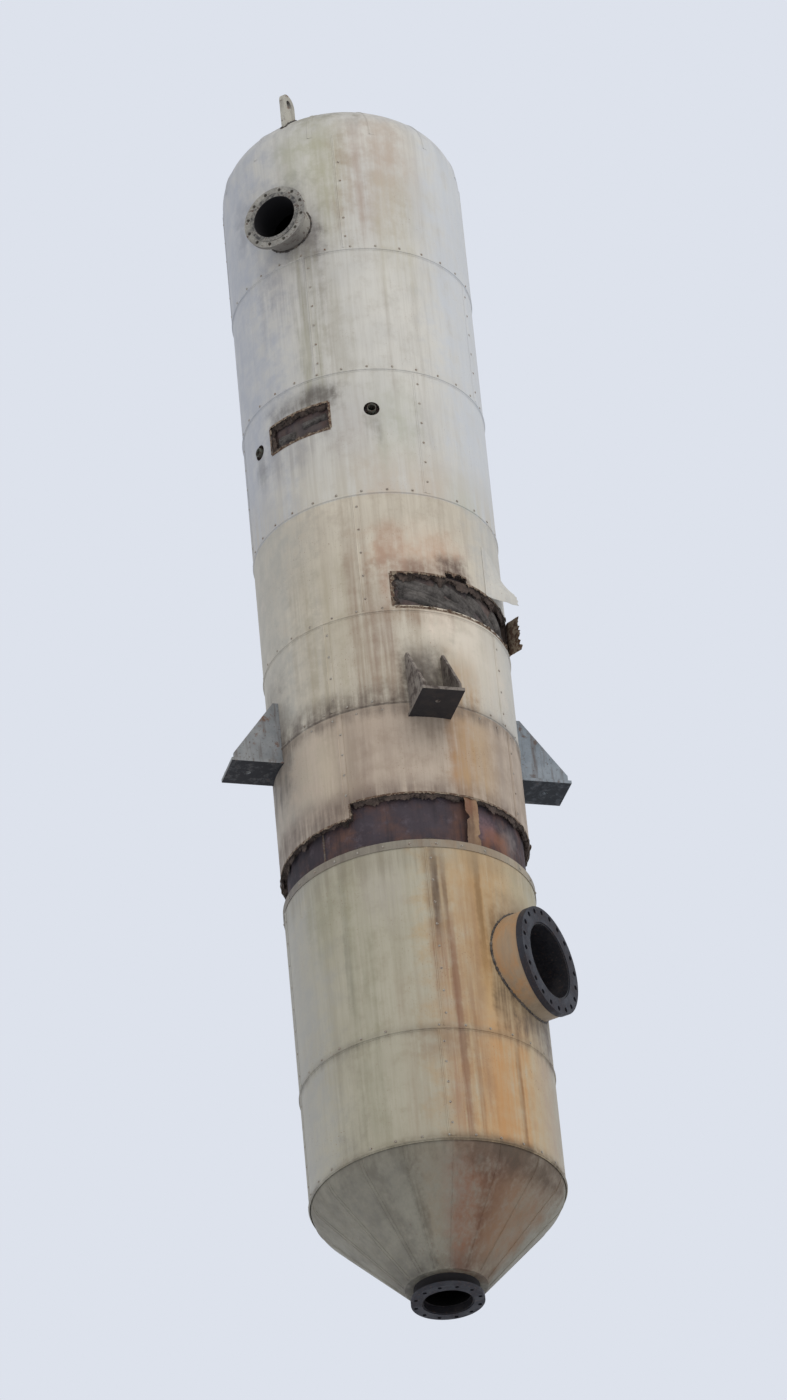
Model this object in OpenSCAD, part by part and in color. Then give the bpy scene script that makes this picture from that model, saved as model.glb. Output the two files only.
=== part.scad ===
// Distillation column: an insulated process vessel that hangs on four brackets.
// The origin is on the vessel's centre line, level with the undersides of the bracket feet.
// +Z is up, -Y is the side of the vapour nozzle and +X the side of the manway.
// An angle around the vessel is counted from -Y towards +X.

/* [Shell] */
// Outside diameter of the pressure shell
shell_od = 1520; // [1500:10:1560]
// Wall of the shell courses
shell_t = 10; // [8:1:16]
// Height of the joint between the top course and the head
top_tangent_z = 4600; // [4500:10:5200]
// Height of the joint between the bottom course and the cone
bottom_tangent_z = -3000; // [-3300:10:-2800]
// Height of the weld between the lower and the middle course
lower_weld_z = -467; // [-520:1:-400]
// Height of the weld between the middle and the upper course
upper_weld_z = 2067; // [1900:1:2200]

/* [Head] */
// Crown radius of the deep dished head, outside
crown_r = 960; // [900:10:1200]
// Knuckle radius of the deep dished head, outside
head_knuckle_r = 310; // [270:5:330]
// Wall of the dished head
head_t = 10; // [8:1:14]

/* [Cone] */
// Half angle of the cone, between its wall and the centre line
cone_angle = 44; // [38:1:48]
// Radius of the rounding between cylinder and cone, outside
cone_knuckle_r = 190; // [150:5:230]
// Wall of the cone
cone_t = 10; // [8:1:14]

/* [Insulation and sheet] */
// Thickness of the mineral wool
wool_t = 38; // [30:1:50]
// Thickness of the sheet jacket
sheet_t = 2; // [1.5:0.5:3]
// Height of the bead that stiffens the lower edge of a sheet
bead_r = 7; // [5:0.5:10]
// Distance from the lower edge of a sheet to the middle of its bead
bead_inset = 16; // [12:1:30]
// Height of the joint between the middle and the upper sheet
upper_joint_z = 1700; // [1500:10:1900]
// Height of the joint at the brackets
bracket_joint_z = 100; // [60:5:140]
// Upper edge of the bare band
band_top_z = -565; // [-600:5:-500]
// Lower edge of the bare band
band_bottom_z = -910; // [-960:5:-880]
// How far the one sheet that slipped hangs into the bare band
slipped_drop = 110; // [60:5:160]
// Angle at which the slipped sheet starts
slipped_from = -86; // [-95:1:-60]
// Angle at which the slipped sheet ends
slipped_to = 4; // [0:1:12]
// Height of the rim around the top of the lower sheet
rim_h = 55; // [40:1:70]
// Thickness of that rim
rim_t = 5; // [3:0.5:8]
// Width of the strip of sheet that still bridges the bare band
strap_w = 105; // [60:5:140]
// Angle of that strip
strap_angle = 61; // [50:1:70]
// How far the lowest sheet laps over the sheet of the cone
cone_lap = 50; // [40:5:60]
// How much of the bare cone shows between its sheet and the outlet neck, in height
cone_bare_h = 46; // [40:1:60]

/* [Holes torn in the sheet] */
// Middle of the upper hole
upper_hole_z = 2370; // [2340:5:2420]
// Height of the upper hole
upper_hole_h = 210; // [150:5:260]
// Angle at which the upper hole starts
upper_hole_from = -22; // [-24:1:-10]
// Angle at which the upper hole ends
upper_hole_to = 12; // [5:1:22]
// Lower edge of the lower hole
lower_hole_z = 828; // [780:5:900]
// Height of the lower hole
lower_hole_h = 265; // [200:5:300]
// Angle at which the lower hole starts
lower_hole_from = 33; // [30:1:60]
// Angle at which the lower hole ends
lower_hole_to = 115; // [100:1:120]
// How much higher the ragged stretch of the lower hole reaches
ragged_rise = 45; // [20:5:70]
// Angle at which the ragged stretch starts
ragged_from = 60; // [55:1:65]
// Angle at which the ragged stretch ends
ragged_to = 72; // [68:1:80]
// Length of the straight part of the bent flap
flap_l = 90; // [60:5:120]
// Inside radius of the flap's bend
flap_bend_r = 60; // [40:5:80]
// How far the flap is bent outwards
flap_turn = 50; // [30:5:70]

/* [Brackets] */
// Distance of the anchor bolts from the shell
bracket_bolt_l = 230; // [200:10:270]
// Length of a foot plate, from the shell outwards
bracket_l = 370; // [340:10:460]
// Width of a foot plate
bracket_w = 280; // [250:10:340]
// Thickness of a foot plate
foot_t = 22; // [16:1:30]
// Diameter of an anchor hole
anchor_d = 33; // [26:1:40]
// Height of a bracket, foot plate included
bracket_h = 460; // [400:10:520]
// Thickness of a side gusset
gusset_t = 16; // [12:1:20]
// Distance of a gusset's outer face from the foot plate's edge
gusset_inset = 14; // [8:1:30]
// Length of the gusset's flat top beyond the shell
gusset_top_l = 65; // [55:5:90]
// Height of the gusset's outer end
gusset_nose_h = 42; // [25:1:60]
// Distance of the gusset's outer end from the foot plate's edge
gusset_nose_inset = 18; // [10:1:40]
// Thickness of the pad between bracket and shell
pad_t = 12; // [8:1:16]
// How far the pad reaches past the bracket on every side
pad_margin = 45; // [30:5:60]

/* [Lifting lugs] */
// Distance of a lifting eye inwards from the shell's outside
eye_inset = 105; // [95:5:120]
// Height of a lifting eye above the top joint
eye_z = 440; // [425:5:470]
// Diameter of a lifting eye
eye_d = 60; // [50:1:66]
// Width of a lifting plate
lug_w = 150; // [130:5:156]
// Thickness of a lifting plate
lug_t = 30; // [24:1:40]
// Thickness of the pad under a lifting plate
lug_pad_t = 10; // [8:1:14]
// Half the angle that the pad under a lifting plate covers
lug_pad_half_angle = 8; // [6:1:12]

/* [Vapour nozzle and outlet] */
// Outside diameter of the two large pipe necks
pipe_od = 323.9; // [310:0.1:340]
// Wall of the two large pipe necks
pipe_t = 8; // [6:0.5:12]
// Outside diameter of their flanges
pipe_flange_od = 460; // [450:5:480]
// Distance from their flanges' rims in to the middles of the bolt holes
pipe_bolt_inset = 25; // [22:0.5:28]
// Diameter of their bolt holes
pipe_bolt_d = 26; // [22:1:28]
// Number of their bolt holes
pipe_bolts = 12; // [8:4:16]
// Thickness of the vapour flange
vapour_flange_t = 28; // [24:1:36]
// Height of the vapour nozzle
vapour_z = 3920; // [3850:10:4000]
// Distance of the vapour flange's face from the sheet
vapour_stand = 185; // [160:5:250]
// Distance between the vapour flange's raised face and its bolt holes
raised_face_gap = 7; // [4:0.5:12]
// Height of the vapour flange's raised face
raised_face_h = 4; // [2:0.5:5]
// Length of the tapered hub behind the vapour flange
hub_l = 44; // [30:1:55]
// Extra radius of that hub where it meets the flange
hub_extra_r = 14; // [8:1:18]
// Thickness of the outlet flange
outlet_flange_t = 32; // [26:1:38]
// Distance of the outlet flange's face below the cone
outlet_reach = 54; // [50:1:120]
// How far a neck's end stands back from a plate flange's face
neck_setback = 6; // [4:1:9]

/* [Manway] */
// Outside diameter of the manway neck
manway_od = 508; // [480:1:530]
// Wall of the manway neck
manway_t = 10; // [8:1:14]
// Height of the manway
manway_z = -1660; // [-1750:10:-1600]
// Distance of the manway flange's face from the sheet
manway_stand = 145; // [130:5:200]
// Outside diameter of the manway flange
manway_flange_od = 715; // [710:5:740]
// Thickness of the manway flange
manway_flange_t = 44; // [36:1:50]
// Distance from the manway flange's rim in to the middles of its bolt holes
manway_bolt_inset = 32.5; // [28:0.5:36]
// Diameter of the manway flange's bolt holes
manway_bolt_d = 33; // [26:1:34]
// Number of the manway flange's bolt holes
manway_bolts = 20; // [16:4:24]
// Outside diameter of the sheet sleeve around the manway neck
sleeve_od = 704; // [700:1:706]
// How far the wool around the manway neck reaches beyond the sheet
manway_wool_l = 26; // [20:1:40]

/* [Gauge stubs] */
// Outside diameter of a gauge stub
stub_od = 60.3; // [48:0.1:76]
// Wall of a gauge stub
stub_t = 5; // [3:0.5:6]
// Height of the gauge stubs
stub_z = 2370; // [2300:10:2450]
// Angle of each stub to either side of the vapour nozzle
stub_angle = 32; // [31:1:38]
// Distance of a stub's open end from the sheet
stub_stand = 15; // [6:1:50]
// Diameter of the hole in sheet and wool around a stub
stub_hole_d = 104; // [90:1:120]

/* [Fits] */
// Clearance between pieces that seat on each other
seat = 0.3; // [0.1:0.1:0.6]

/* [Hidden] */
$fn = 96;
shell_r = shell_od / 2;
shell_inner_r = shell_r - shell_t;
jacket_r = shell_r + wool_t + sheet_t;
wool_in = seat;
wool_out = wool_t - seat;
beyond = 50;
bracket_bolt_r = shell_r + bracket_bolt_l;
bracket_reach = shell_r + bracket_l;
eye_r = shell_r - eye_inset;
vapour_reach = jacket_r + vapour_stand;
manway_reach = jacket_r + manway_stand;
stub_reach = jacket_r + stub_stand;
cone_steps = 16;
flap_steps = 12;
head_top_z = top_tangent_z + crown_r;
pipe_r = pipe_od / 2;
pipe_bolt_circle = pipe_flange_od - 2 * pipe_bolt_inset;
raised_face_d = pipe_bolt_circle - pipe_bolt_d - 2 * raised_face_gap;
manway_bolt_circle = manway_flange_od - 2 * manway_bolt_inset;
manway_r = manway_od / 2;
sleeve_r = sleeve_od / 2;
bracket_angles = [-45, 45, 135, 225];
gusset_x = bracket_w / 2 - gusset_inset - gusset_t / 2;
pad_half_angle = (bracket_w / 2 + pad_margin) / shell_r * 180 / PI;
cone_end_z = bottom_tangent_z - cone_depth(pipe_r);
cone_jacket_h = cone_depth(pipe_r) - cone_bare_h;
cone_sheet_off = wool_t - seat;
outlet_face_z = cone_end_z - outlet_reach;

// Depth below the cylinder at which the cone's outside has the radius r
function cone_depth(r) =
    (shell_r - cone_knuckle_r + cone_knuckle_r / cos(cone_angle) - r) / tan(cone_angle);

// Radius of a surface that lies off millimetres outside the cone, depth below the cylinder
function cone_radius(off, depth) =
    shell_r - cone_knuckle_r + (cone_knuckle_r + off) / cos(cone_angle) - depth * tan(cone_angle);

// Turns a shape that was drawn towards -Y to its angle around the vessel
module facing(angle) {
    rotate([0, 0, angle]) children();
}

// A round bar towards -Y, between two distances from the centre line
module radial_bar(r, from, to, z) {
    translate([0, -from, z]) rotate([90, 0, 0]) cylinder(r = r, h = to - from);
}

// A ring around the centre line
module ring(r_in, r_out, z_low, z_high) {
    rotate_extrude() translate([r_in, z_low]) square([r_out - r_in, z_high - z_low]);
}

// A stretch of such a ring
module ring_part(r_in, r_out, z_low, z_high, from, to) {
    rotate([0, 0, from - 90])
        rotate_extrude(angle = to - from)
            translate([r_in, z_low]) square([r_out - r_in, z_high - z_low]);
}

// Half section of the dished head, filled, grown outwards by off
module dome_section(off) {
    knuckle = head_knuckle_r + off;
    crown = crown_r + off;
    centre_x = shell_r - head_knuckle_r;
    span = crown_r - head_knuckle_r;
    drop = sqrt(span * span - centre_x * centre_x);
    turn = asin(centre_x / span);
    far = crown + head_knuckle_r;
    intersection() {
        translate([centre_x, 0]) circle(r = knuckle);
        translate([centre_x, 0]) square(knuckle + 1);
    }
    intersection() {
        translate([0, -drop]) circle(r = crown, $fn = 360);
        polygon([[0, 0], [centre_x, 0], [far * sin(turn), far * cos(turn) - drop], [0, far - drop]]);
    }
}

module dome(off) {
    translate([0, 0, top_tangent_z]) rotate_extrude() dome_section(off);
}

module dome_shell(off_in, off_out) {
    translate([0, 0, top_tangent_z])
        rotate_extrude()
            difference() {
                dome_section(off_out);
                dome_section(off_in);
            }
}

// Half section of the rounded cone, filled, grown outwards by off and cut at a depth
module cone_section(off, depth) {
    centre_x = shell_r - cone_knuckle_r;
    knuckle = cone_knuckle_r + off;
    rounding = [
        for (i = [0 : cone_steps])
            let (a = cone_angle * i / cone_steps) [centre_x + knuckle * cos(a), -knuckle * sin(a)]
    ];
    polygon(concat([[0, 0]], rounding, [[cone_radius(off, depth), -depth], [0, -depth]]));
}

// What the necks need in shell and wool
module neck_space(clearance) {
    radial_bar(pipe_r + clearance, shell_inner_r / 2, vapour_reach, vapour_z);
    facing(90) radial_bar(manway_r + clearance, shell_inner_r / 2, manway_reach, manway_z);
}

module stub_space(r) {
    for (side = [-1, 1])
        facing(side * stub_angle) radial_bar(r, shell_inner_r / 2, stub_reach + beyond, stub_z);
}

// Foot plate and two gussets, drawn towards -Y and grown by clearance
module bracket_plates(clearance) {
    inner = shell_r / 2;
    translate([-bracket_w / 2 - clearance, -bracket_reach - clearance, -clearance])
        cube([bracket_w + 2 * clearance, bracket_reach - inner, foot_t + 2 * clearance]);
    for (side = [-1, 1])
        translate([side * gusset_x - gusset_t / 2 - clearance, 0, 0])
            rotate([90, 0, 90])
                linear_extrude(gusset_t + 2 * clearance)
                    polygon([
                        [-inner, foot_t / 2],
                        [-inner, bracket_h + clearance],
                        [-shell_r - gusset_top_l, bracket_h + clearance],
                        [-bracket_reach + gusset_nose_inset, foot_t + gusset_nose_h + clearance],
                        [-bracket_reach + gusset_nose_inset, foot_t / 2]
                    ]);
}

module bracket(angle) {
    color("#8F9090")
        facing(angle)
            difference() {
                bracket_plates(0);
                translate([0, 0, -beyond]) cylinder(r = shell_r + pad_t + seat, h = bracket_h + 2 * beyond);
                translate([0, -bracket_bolt_r, -1]) cylinder(d = anchor_d, h = foot_t + 2);
            }
}

module bracket_pad_form(clearance) {
    ring_part(
        shell_r + seat - clearance, shell_r + pad_t + clearance,
        -pad_margin - clearance, bracket_h + pad_margin + clearance,
        -pad_half_angle, pad_half_angle
    );
}

module bracket_pad(angle) {
    color("#8A867C") facing(angle) bracket_pad_form(0);
}

// The brackets and their pads as spaces in wool and sheet
module bracket_space() {
    for (angle = bracket_angles)
        facing(angle) {
            bracket_plates(seat);
            bracket_pad_form(seat);
        }
}

// The pocket between the gussets, up to the joint, which stays free of sheet and wool
module pocket_space() {
    for (angle = bracket_angles)
        facing(angle)
            translate([-gusset_x, -bracket_reach, foot_t / 2])
                cube([2 * gusset_x, bracket_reach / 2, bracket_joint_z]);
}

// Where nothing hangs down beside the one sheet that slipped
module band_space() {
    ring_part(
        shell_r - 1, jacket_r + beyond, band_top_z - slipped_drop - 1, band_top_z,
        slipped_to, slipped_from + 360
    );
}

// A round-topped plate in the plane of the centre line, drawn towards -Y
module lug_plate(clearance) {
    translate([0, -eye_r, top_tangent_z + eye_z])
        rotate([0, 90, 0])
            translate([0, 0, -lug_t / 2 - clearance])
                linear_extrude(lug_t + 2 * clearance) {
                    circle(d = lug_w + 2 * clearance);
                    translate([0, -lug_w / 2 - clearance])
                        square([eye_z, lug_w + 2 * clearance]);
                }
}

module lifting_lug(angle) {
    color("#A8A69C")
        facing(angle)
            difference() {
                lug_plate(0);
                dome(lug_pad_t + seat, $fn = 288);
                translate([-lug_t, -eye_r, top_tangent_z + eye_z])
                    rotate([0, 90, 0]) cylinder(d = eye_d, h = 2 * lug_t);
            }
}

// The curved pad between lifting plate and head
module lug_pad_form(clearance) {
    margin = 30 + clearance;
    rotate([0, 0, -90 - lug_pad_half_angle])
        translate([0, 0, top_tangent_z])
            rotate_extrude(angle = 2 * lug_pad_half_angle, $fn = 288)
                intersection() {
                    difference() {
                        dome_section(lug_pad_t + clearance);
                        dome_section(seat - clearance);
                    }
                    translate([eye_r - lug_w / 2 - margin, 0]) square([lug_w + 2 * margin, head_top_z]);
                }
}

module lifting_pad(angle) {
    color("#8A867C") facing(angle) lug_pad_form(0);
}

module lifting_space() {
    for (angle = [0, 180])
        facing(angle) {
            lug_plate(seat);
            lug_pad_form(seat);
        }
}

// Flat ring flange with its bolt holes, standing on z = 0
module plate_flange(od, bore_r, thickness, bolt_circle, bolt_d, bolts) {
    difference() {
        cylinder(d = od, h = thickness);
        translate([0, 0, -1]) cylinder(r = bore_r, h = thickness + 2);
        bolt_holes(bolt_circle, bolt_d, bolts, thickness);
    }
}

module bolt_holes(bolt_circle, bolt_d, bolts, thickness) {
    for (i = [0 : bolts - 1])
        rotate([0, 0, (i + 0.5) * 360 / bolts])
            translate([bolt_circle / 2, 0, -1]) cylinder(d = bolt_d, h = thickness + 2);
}

module course(z_low, z_high) {
    color("#5A4A42")
        difference() {
            ring(shell_inner_r, shell_r, z_low, z_high);
            neck_space(seat);
            stub_space(stub_od / 2 + seat);
        }
}

module shell_lower() course(bottom_tangent_z, lower_weld_z);
module shell_middle() course(lower_weld_z, upper_weld_z);
module shell_upper() course(upper_weld_z, top_tangent_z);

module top_head() {
    color("#6A5C50") dome_shell(-head_t, 0);
}

module bottom_cone() {
    depth = cone_depth(pipe_r);
    color("#4E4440")
        translate([0, 0, bottom_tangent_z])
            rotate_extrude()
                difference() {
                    cone_section(0, depth);
                    cone_section(-cone_t, depth);
                }
}

module outlet_neck() {
    color("#3A3638")
        ring(pipe_r - pipe_t, pipe_r, outlet_face_z + neck_setback, cone_end_z);
}

module outlet_flange() {
    color("#2E2C2E")
        translate([0, 0, outlet_face_z])
            plate_flange(pipe_flange_od, pipe_r + seat, outlet_flange_t,
                pipe_bolt_circle, pipe_bolt_d, pipe_bolts);
}

module vapour_neck() {
    hub_start = vapour_reach - raised_face_h - vapour_flange_t - hub_l;
    color("#A9A698")
        difference() {
            radial_bar(pipe_r, shell_inner_r / 2, hub_start, vapour_z);
            radial_bar(pipe_r - pipe_t, shell_inner_r / 2 - 1, hub_start + 1, vapour_z);
            translate([0, 0, vapour_z - pipe_od]) cylinder(r = shell_inner_r, h = 2 * pipe_od);
        }
}

module vapour_flange() {
    back = vapour_flange_t;
    bore_r = pipe_r - pipe_t;
    color("#C2BEB0")
        translate([0, -vapour_reach + raised_face_h, vapour_z])
            rotate([-90, 0, 0])
                difference() {
                    rotate_extrude()
                        polygon([
                            [bore_r, -raised_face_h],
                            [raised_face_d / 2, -raised_face_h],
                            [raised_face_d / 2, 0],
                            [pipe_flange_od / 2, 0],
                            [pipe_flange_od / 2, back],
                            [pipe_r + hub_extra_r, back],
                            [pipe_r, back + hub_l],
                            [bore_r, back + hub_l]
                        ]);
                    bolt_holes(pipe_bolt_circle, pipe_bolt_d, pipe_bolts, back);
                }
}

module manway_neck() {
    end = manway_reach - neck_setback;
    color("#3A3230")
        facing(90)
            difference() {
                radial_bar(manway_r, shell_inner_r / 2, end, manway_z);
                radial_bar(manway_r - manway_t, shell_inner_r / 2 - 1, end + 1, manway_z);
                translate([0, 0, manway_z - manway_od]) cylinder(r = shell_inner_r, h = 2 * manway_od);
            }
}

module manway_flange() {
    color("#2A2A30")
        facing(90)
            translate([0, -manway_reach, manway_z])
                rotate([-90, 0, 0])
                    plate_flange(manway_flange_od, manway_r + seat, manway_flange_t,
                        manway_bolt_circle, manway_bolt_d, manway_bolts);
}

// A tube around the manway neck that ends on the curved jacket
module manway_cover(r_in, r_out, end) {
    facing(90)
        difference() {
            radial_bar(r_out, shell_r / 2, end, manway_z);
            radial_bar(r_in, shell_r / 2 - 1, end + 1, manway_z);
            translate([0, 0, manway_z - sleeve_od]) cylinder(r = jacket_r + seat, h = 2 * sleeve_od);
        }
}

module manway_sleeve() {
    color("#A08A70")
        manway_cover(sleeve_r - sheet_t, sleeve_r, manway_reach - manway_flange_t - seat);
}

module manway_wool() {
    color("#7A6A50")
        manway_cover(manway_r + seat, sleeve_r - sheet_t - seat, jacket_r + manway_wool_l);
}

module gauge_stub(side) {
    color("#5F6058")
        facing(side * stub_angle)
            difference() {
                radial_bar(stub_od / 2, shell_inner_r, stub_reach, stub_z);
                radial_bar(stub_od / 2 - stub_t, shell_inner_r - 1, stub_reach + 1, stub_z);
            }
}

// What passes through, or is missing from, wool and sheet on the cylinder
module jacket_gaps() {
    neck_space(seat);
    stub_space(stub_hole_d / 2);
    bracket_space();
    ring_part(
        shell_r - 1, jacket_r + beyond,
        upper_hole_z - upper_hole_h / 2, upper_hole_z + upper_hole_h / 2,
        upper_hole_from, upper_hole_to
    );
    ring_part(
        shell_r - 1, jacket_r + beyond, lower_hole_z, lower_hole_z + lower_hole_h,
        lower_hole_from, lower_hole_to
    );
    ring_part(
        shell_r - 1, jacket_r + beyond,
        lower_hole_z + lower_hole_h / 2, lower_hole_z + lower_hole_h + ragged_rise,
        ragged_from, ragged_to
    );
}

module wool_ring(z_low, z_high) {
    color("#6E6048")
        difference() {
            ring(shell_r + wool_in, shell_r + wool_out, z_low, z_high);
            jacket_gaps();
        }
}

// A sheet ring with a half-round bead along its lower edge
module sheet_ring(z_low, z_high, tint) {
    color(tint)
        difference() {
            rotate_extrude()
                translate([jacket_r - sheet_t, 0]) {
                    translate([0, z_low]) square([sheet_t, z_high - z_low]);
                    intersection() {
                        translate([0, z_low + bead_inset]) circle(r = bead_r + sheet_t, $fn = 24);
                        translate([0, z_low]) square([bead_r + sheet_t, 2 * bead_inset]);
                    }
                }
            jacket_gaps();
        }
}

module wool_upper() wool_ring(upper_joint_z, top_tangent_z);
module wool_middle() wool_ring(bracket_joint_z, upper_joint_z);
module wool_lower() wool_ring(bottom_tangent_z, band_bottom_z);

module wool_short() {
    color("#6E6048")
        difference() {
            ring(shell_r + wool_in, shell_r + wool_out, band_top_z - slipped_drop, bracket_joint_z);
            jacket_gaps();
            pocket_space();
            band_space();
        }
}

module jacket_upper() sheet_ring(upper_joint_z, top_tangent_z, "#C4C1B6");
module jacket_middle() sheet_ring(bracket_joint_z, upper_joint_z, "#B4AD9B");
module jacket_lower() sheet_ring(bottom_tangent_z - cone_lap, band_bottom_z, "#A8A08A");

module jacket_short() {
    color("#B2A592")
        difference() {
            ring(jacket_r - sheet_t, jacket_r, band_top_z - slipped_drop, bracket_joint_z);
            jacket_gaps();
            pocket_space();
            band_space();
        }
}

module wool_head() {
    color("#6E6048")
        difference() {
            dome_shell(wool_in, wool_out);
            lifting_space();
        }
}

module jacket_head() {
    color("#C0BDB2")
        difference() {
            dome_shell(wool_t, wool_t + sheet_t);
            lifting_space();
        }
}

module wool_cone() {
    color("#6E6048")
        translate([0, 0, bottom_tangent_z])
            rotate_extrude()
                difference() {
                    cone_section(cone_sheet_off - sheet_t - seat, cone_jacket_h - sheet_t - seat);
                    cone_section(wool_in, cone_jacket_h);
                }
}

// The cone's sheet starts behind the lowest sheet and turns in under the wool at the outlet
module jacket_cone() {
    color("#75706A")
        translate([0, 0, bottom_tangent_z])
            rotate_extrude()
                difference() {
                    cone_section(cone_sheet_off, cone_jacket_h);
                    cone_section(cone_sheet_off - sheet_t, cone_jacket_h - sheet_t);
                    cone_section(seat, cone_jacket_h + 1);
                }
}

module jacket_rim() {
    color("#C8C2B4")
        ring(jacket_r + seat, jacket_r + seat + rim_t, band_bottom_z - rim_h, band_bottom_z);
}

module band_strap() {
    half_angle = strap_w / jacket_r * 90 / PI;
    color("#A0764A")
        ring_part(
            jacket_r - sheet_t, jacket_r, band_bottom_z, band_top_z,
            strap_angle - half_angle, strap_angle + half_angle
        );
}

// The torn sheet bends outwards from the end of the lower hole
module torn_flap() {
    outer_r = flap_bend_r + sheet_t;
    function on_bend(r, a) = [-r * sin(a), r * cos(a) - outer_r];
    end = [-flap_l * cos(flap_turn), -flap_l * sin(flap_turn)];
    outside = [for (i = [0 : flap_steps]) on_bend(outer_r, flap_turn * i / flap_steps)];
    inside = [for (i = [flap_steps : -1 : 0]) on_bend(flap_bend_r, flap_turn * i / flap_steps)];
    color("#8C7A66")
        facing(lower_hole_to)
            translate([0, -jacket_r + sheet_t, lower_hole_z])
                linear_extrude(lower_hole_h)
                    polygon(concat(
                        outside,
                        [on_bend(outer_r, flap_turn) + end, on_bend(flap_bend_r, flap_turn) + end],
                        inside
                    ));
}

shell_lower();
shell_middle();
shell_upper();
top_head();
bottom_cone();
outlet_neck();
outlet_flange();
vapour_neck();
vapour_flange();
manway_neck();
manway_flange();
manway_sleeve();
manway_wool();
gauge_stub(-1);  // gauge_stub_left
gauge_stub(1);  // gauge_stub_right
bracket(bracket_angles[0]);  // bracket_front_left
bracket(bracket_angles[1]);  // bracket_front_right
bracket(bracket_angles[2]);  // bracket_back_right
bracket(bracket_angles[3]);  // bracket_back_left
bracket_pad(bracket_angles[0]);  // bracket_pad_front_left
bracket_pad(bracket_angles[1]);  // bracket_pad_front_right
bracket_pad(bracket_angles[2]);  // bracket_pad_back_right
bracket_pad(bracket_angles[3]);  // bracket_pad_back_left
lifting_lug(0);  // lifting_lug_front
lifting_lug(180);  // lifting_lug_back
lifting_pad(0);  // lifting_pad_front
lifting_pad(180);  // lifting_pad_back
wool_head();
wool_upper();
wool_middle();
wool_short();
wool_lower();
wool_cone();
jacket_head();
jacket_upper();
jacket_middle();
jacket_short();
jacket_lower();
jacket_cone();
jacket_rim();
band_strap();
torn_flap();
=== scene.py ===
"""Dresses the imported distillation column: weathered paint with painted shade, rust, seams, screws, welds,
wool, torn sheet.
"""

import math
import random
from collections import namedtuple

import bmesh
import bpy
from mathutils import Matrix, Quaternion, Vector, noise


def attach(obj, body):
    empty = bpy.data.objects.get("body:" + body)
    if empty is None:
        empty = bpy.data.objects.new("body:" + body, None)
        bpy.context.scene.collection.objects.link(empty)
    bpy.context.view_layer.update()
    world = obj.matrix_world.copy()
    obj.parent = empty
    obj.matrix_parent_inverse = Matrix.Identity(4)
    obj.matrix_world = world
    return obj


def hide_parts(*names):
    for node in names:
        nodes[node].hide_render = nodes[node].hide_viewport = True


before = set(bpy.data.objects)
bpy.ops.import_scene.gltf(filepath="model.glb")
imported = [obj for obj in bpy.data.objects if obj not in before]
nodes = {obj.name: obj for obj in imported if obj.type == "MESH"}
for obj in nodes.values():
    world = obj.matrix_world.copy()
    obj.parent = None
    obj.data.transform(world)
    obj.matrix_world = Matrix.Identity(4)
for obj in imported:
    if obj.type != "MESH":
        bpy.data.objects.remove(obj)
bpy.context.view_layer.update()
chance = random.Random(11)

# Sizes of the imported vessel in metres. An angle runs around it from -Y towards +X, in degrees.
SHEET_R = 0.800
SHELL_R = 0.760
SHELL_INNER_R = 0.750
HEAD_Z = 4.600
UPPER_JOINT_Z = 1.700
BRACKET_JOINT_Z = 0.100
BAND_TOP_Z = -0.565
BAND_LOW_Z = -0.910
SLIPPED_Z = BAND_TOP_Z - 0.110
CONE_Z = -3.000
SHEET_END_Z = -3.050
HEAD_KNUCKLE_R, HEAD_KNUCKLE_X = 0.350, 0.450
CROWN_R = 1.000
CROWN_TURN = math.degrees(math.asin(HEAD_KNUCKLE_X / (CROWN_R - HEAD_KNUCKLE_R)))
CROWN_DROP = math.sqrt((CROWN_R - HEAD_KNUCKLE_R) ** 2 - HEAD_KNUCKLE_X**2)
CONE_KNUCKLE_R, CONE_KNUCKLE_X, CONE_ANGLE = 0.2277, 0.570, 44.0
NOZZLE_Z, NOZZLE_BORE_R, FLANGE_FACE_Y = 3.920, 0.154, -0.981
STUB_Z, STUB_ANGLES = 2.370, (-32, 32)
MANWAY_Z, MANWAY_ANGLE = -1.660, 90
BRACKET_ANGLES = (-45, 45, 135, 225)
UPPER_HOLE_TOP, UPPER_HOLE_LOW = 2.475, 2.265
LOWER_HOLE_TOP, LOWER_HOLE_LOW, NOTCH_TOP = 1.093, 0.828, 1.138
UP = Vector((0, 0, 1))

# Each row of sheets: its part, its lower and upper edge, and the angles of its upright laps
SHEET_ROWS = (
    ("upper", 3.640, HEAD_Z, (27, 117, 207, 297)),
    ("upper", 2.670, 3.640, (8, 98, 188, 278)),
    ("upper", UPPER_JOINT_Z, 2.670, (55, 145, 235, 305)),
    ("middle", 0.790, UPPER_JOINT_Z, (20, 142, 200, 290)),
    ("middle", BRACKET_JOINT_Z, 0.790, (0, 90, 180, 270)),
    ("lower", -2.280, -0.965, (38, 128, 218, 308)),
    ("lower", SHEET_END_Z, -2.280, (36, 126, 216, 306)),
)
# The short row over the band: the angle of each upright lap, and its lower end
SHORT_LAPS = ((2.2, SLIPPED_Z), (94, BAND_TOP_Z), (184, BAND_TOP_Z), (-84.2, SLIPPED_Z))


def towards(angle):
    """The level direction at an angle around the vessel."""
    turn = math.radians(angle)
    return Vector((math.sin(turn), -math.cos(turn), 0))


def on_drum(angle, z, radius):
    """The point at an angle, a height and a distance from the centre line."""
    return towards(angle) * radius + UP * z


def turned(angle):
    """The turn that takes a shape drawn towards -Y to its angle around the vessel."""
    return Matrix.Rotation(math.radians(angle), 4, "Z")


def waver(x, y, z):
    """A smooth random value, mostly between -0.5 and 0.5, that is the same in each run."""
    return noise.noise(Vector((x, y, z)))


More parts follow.
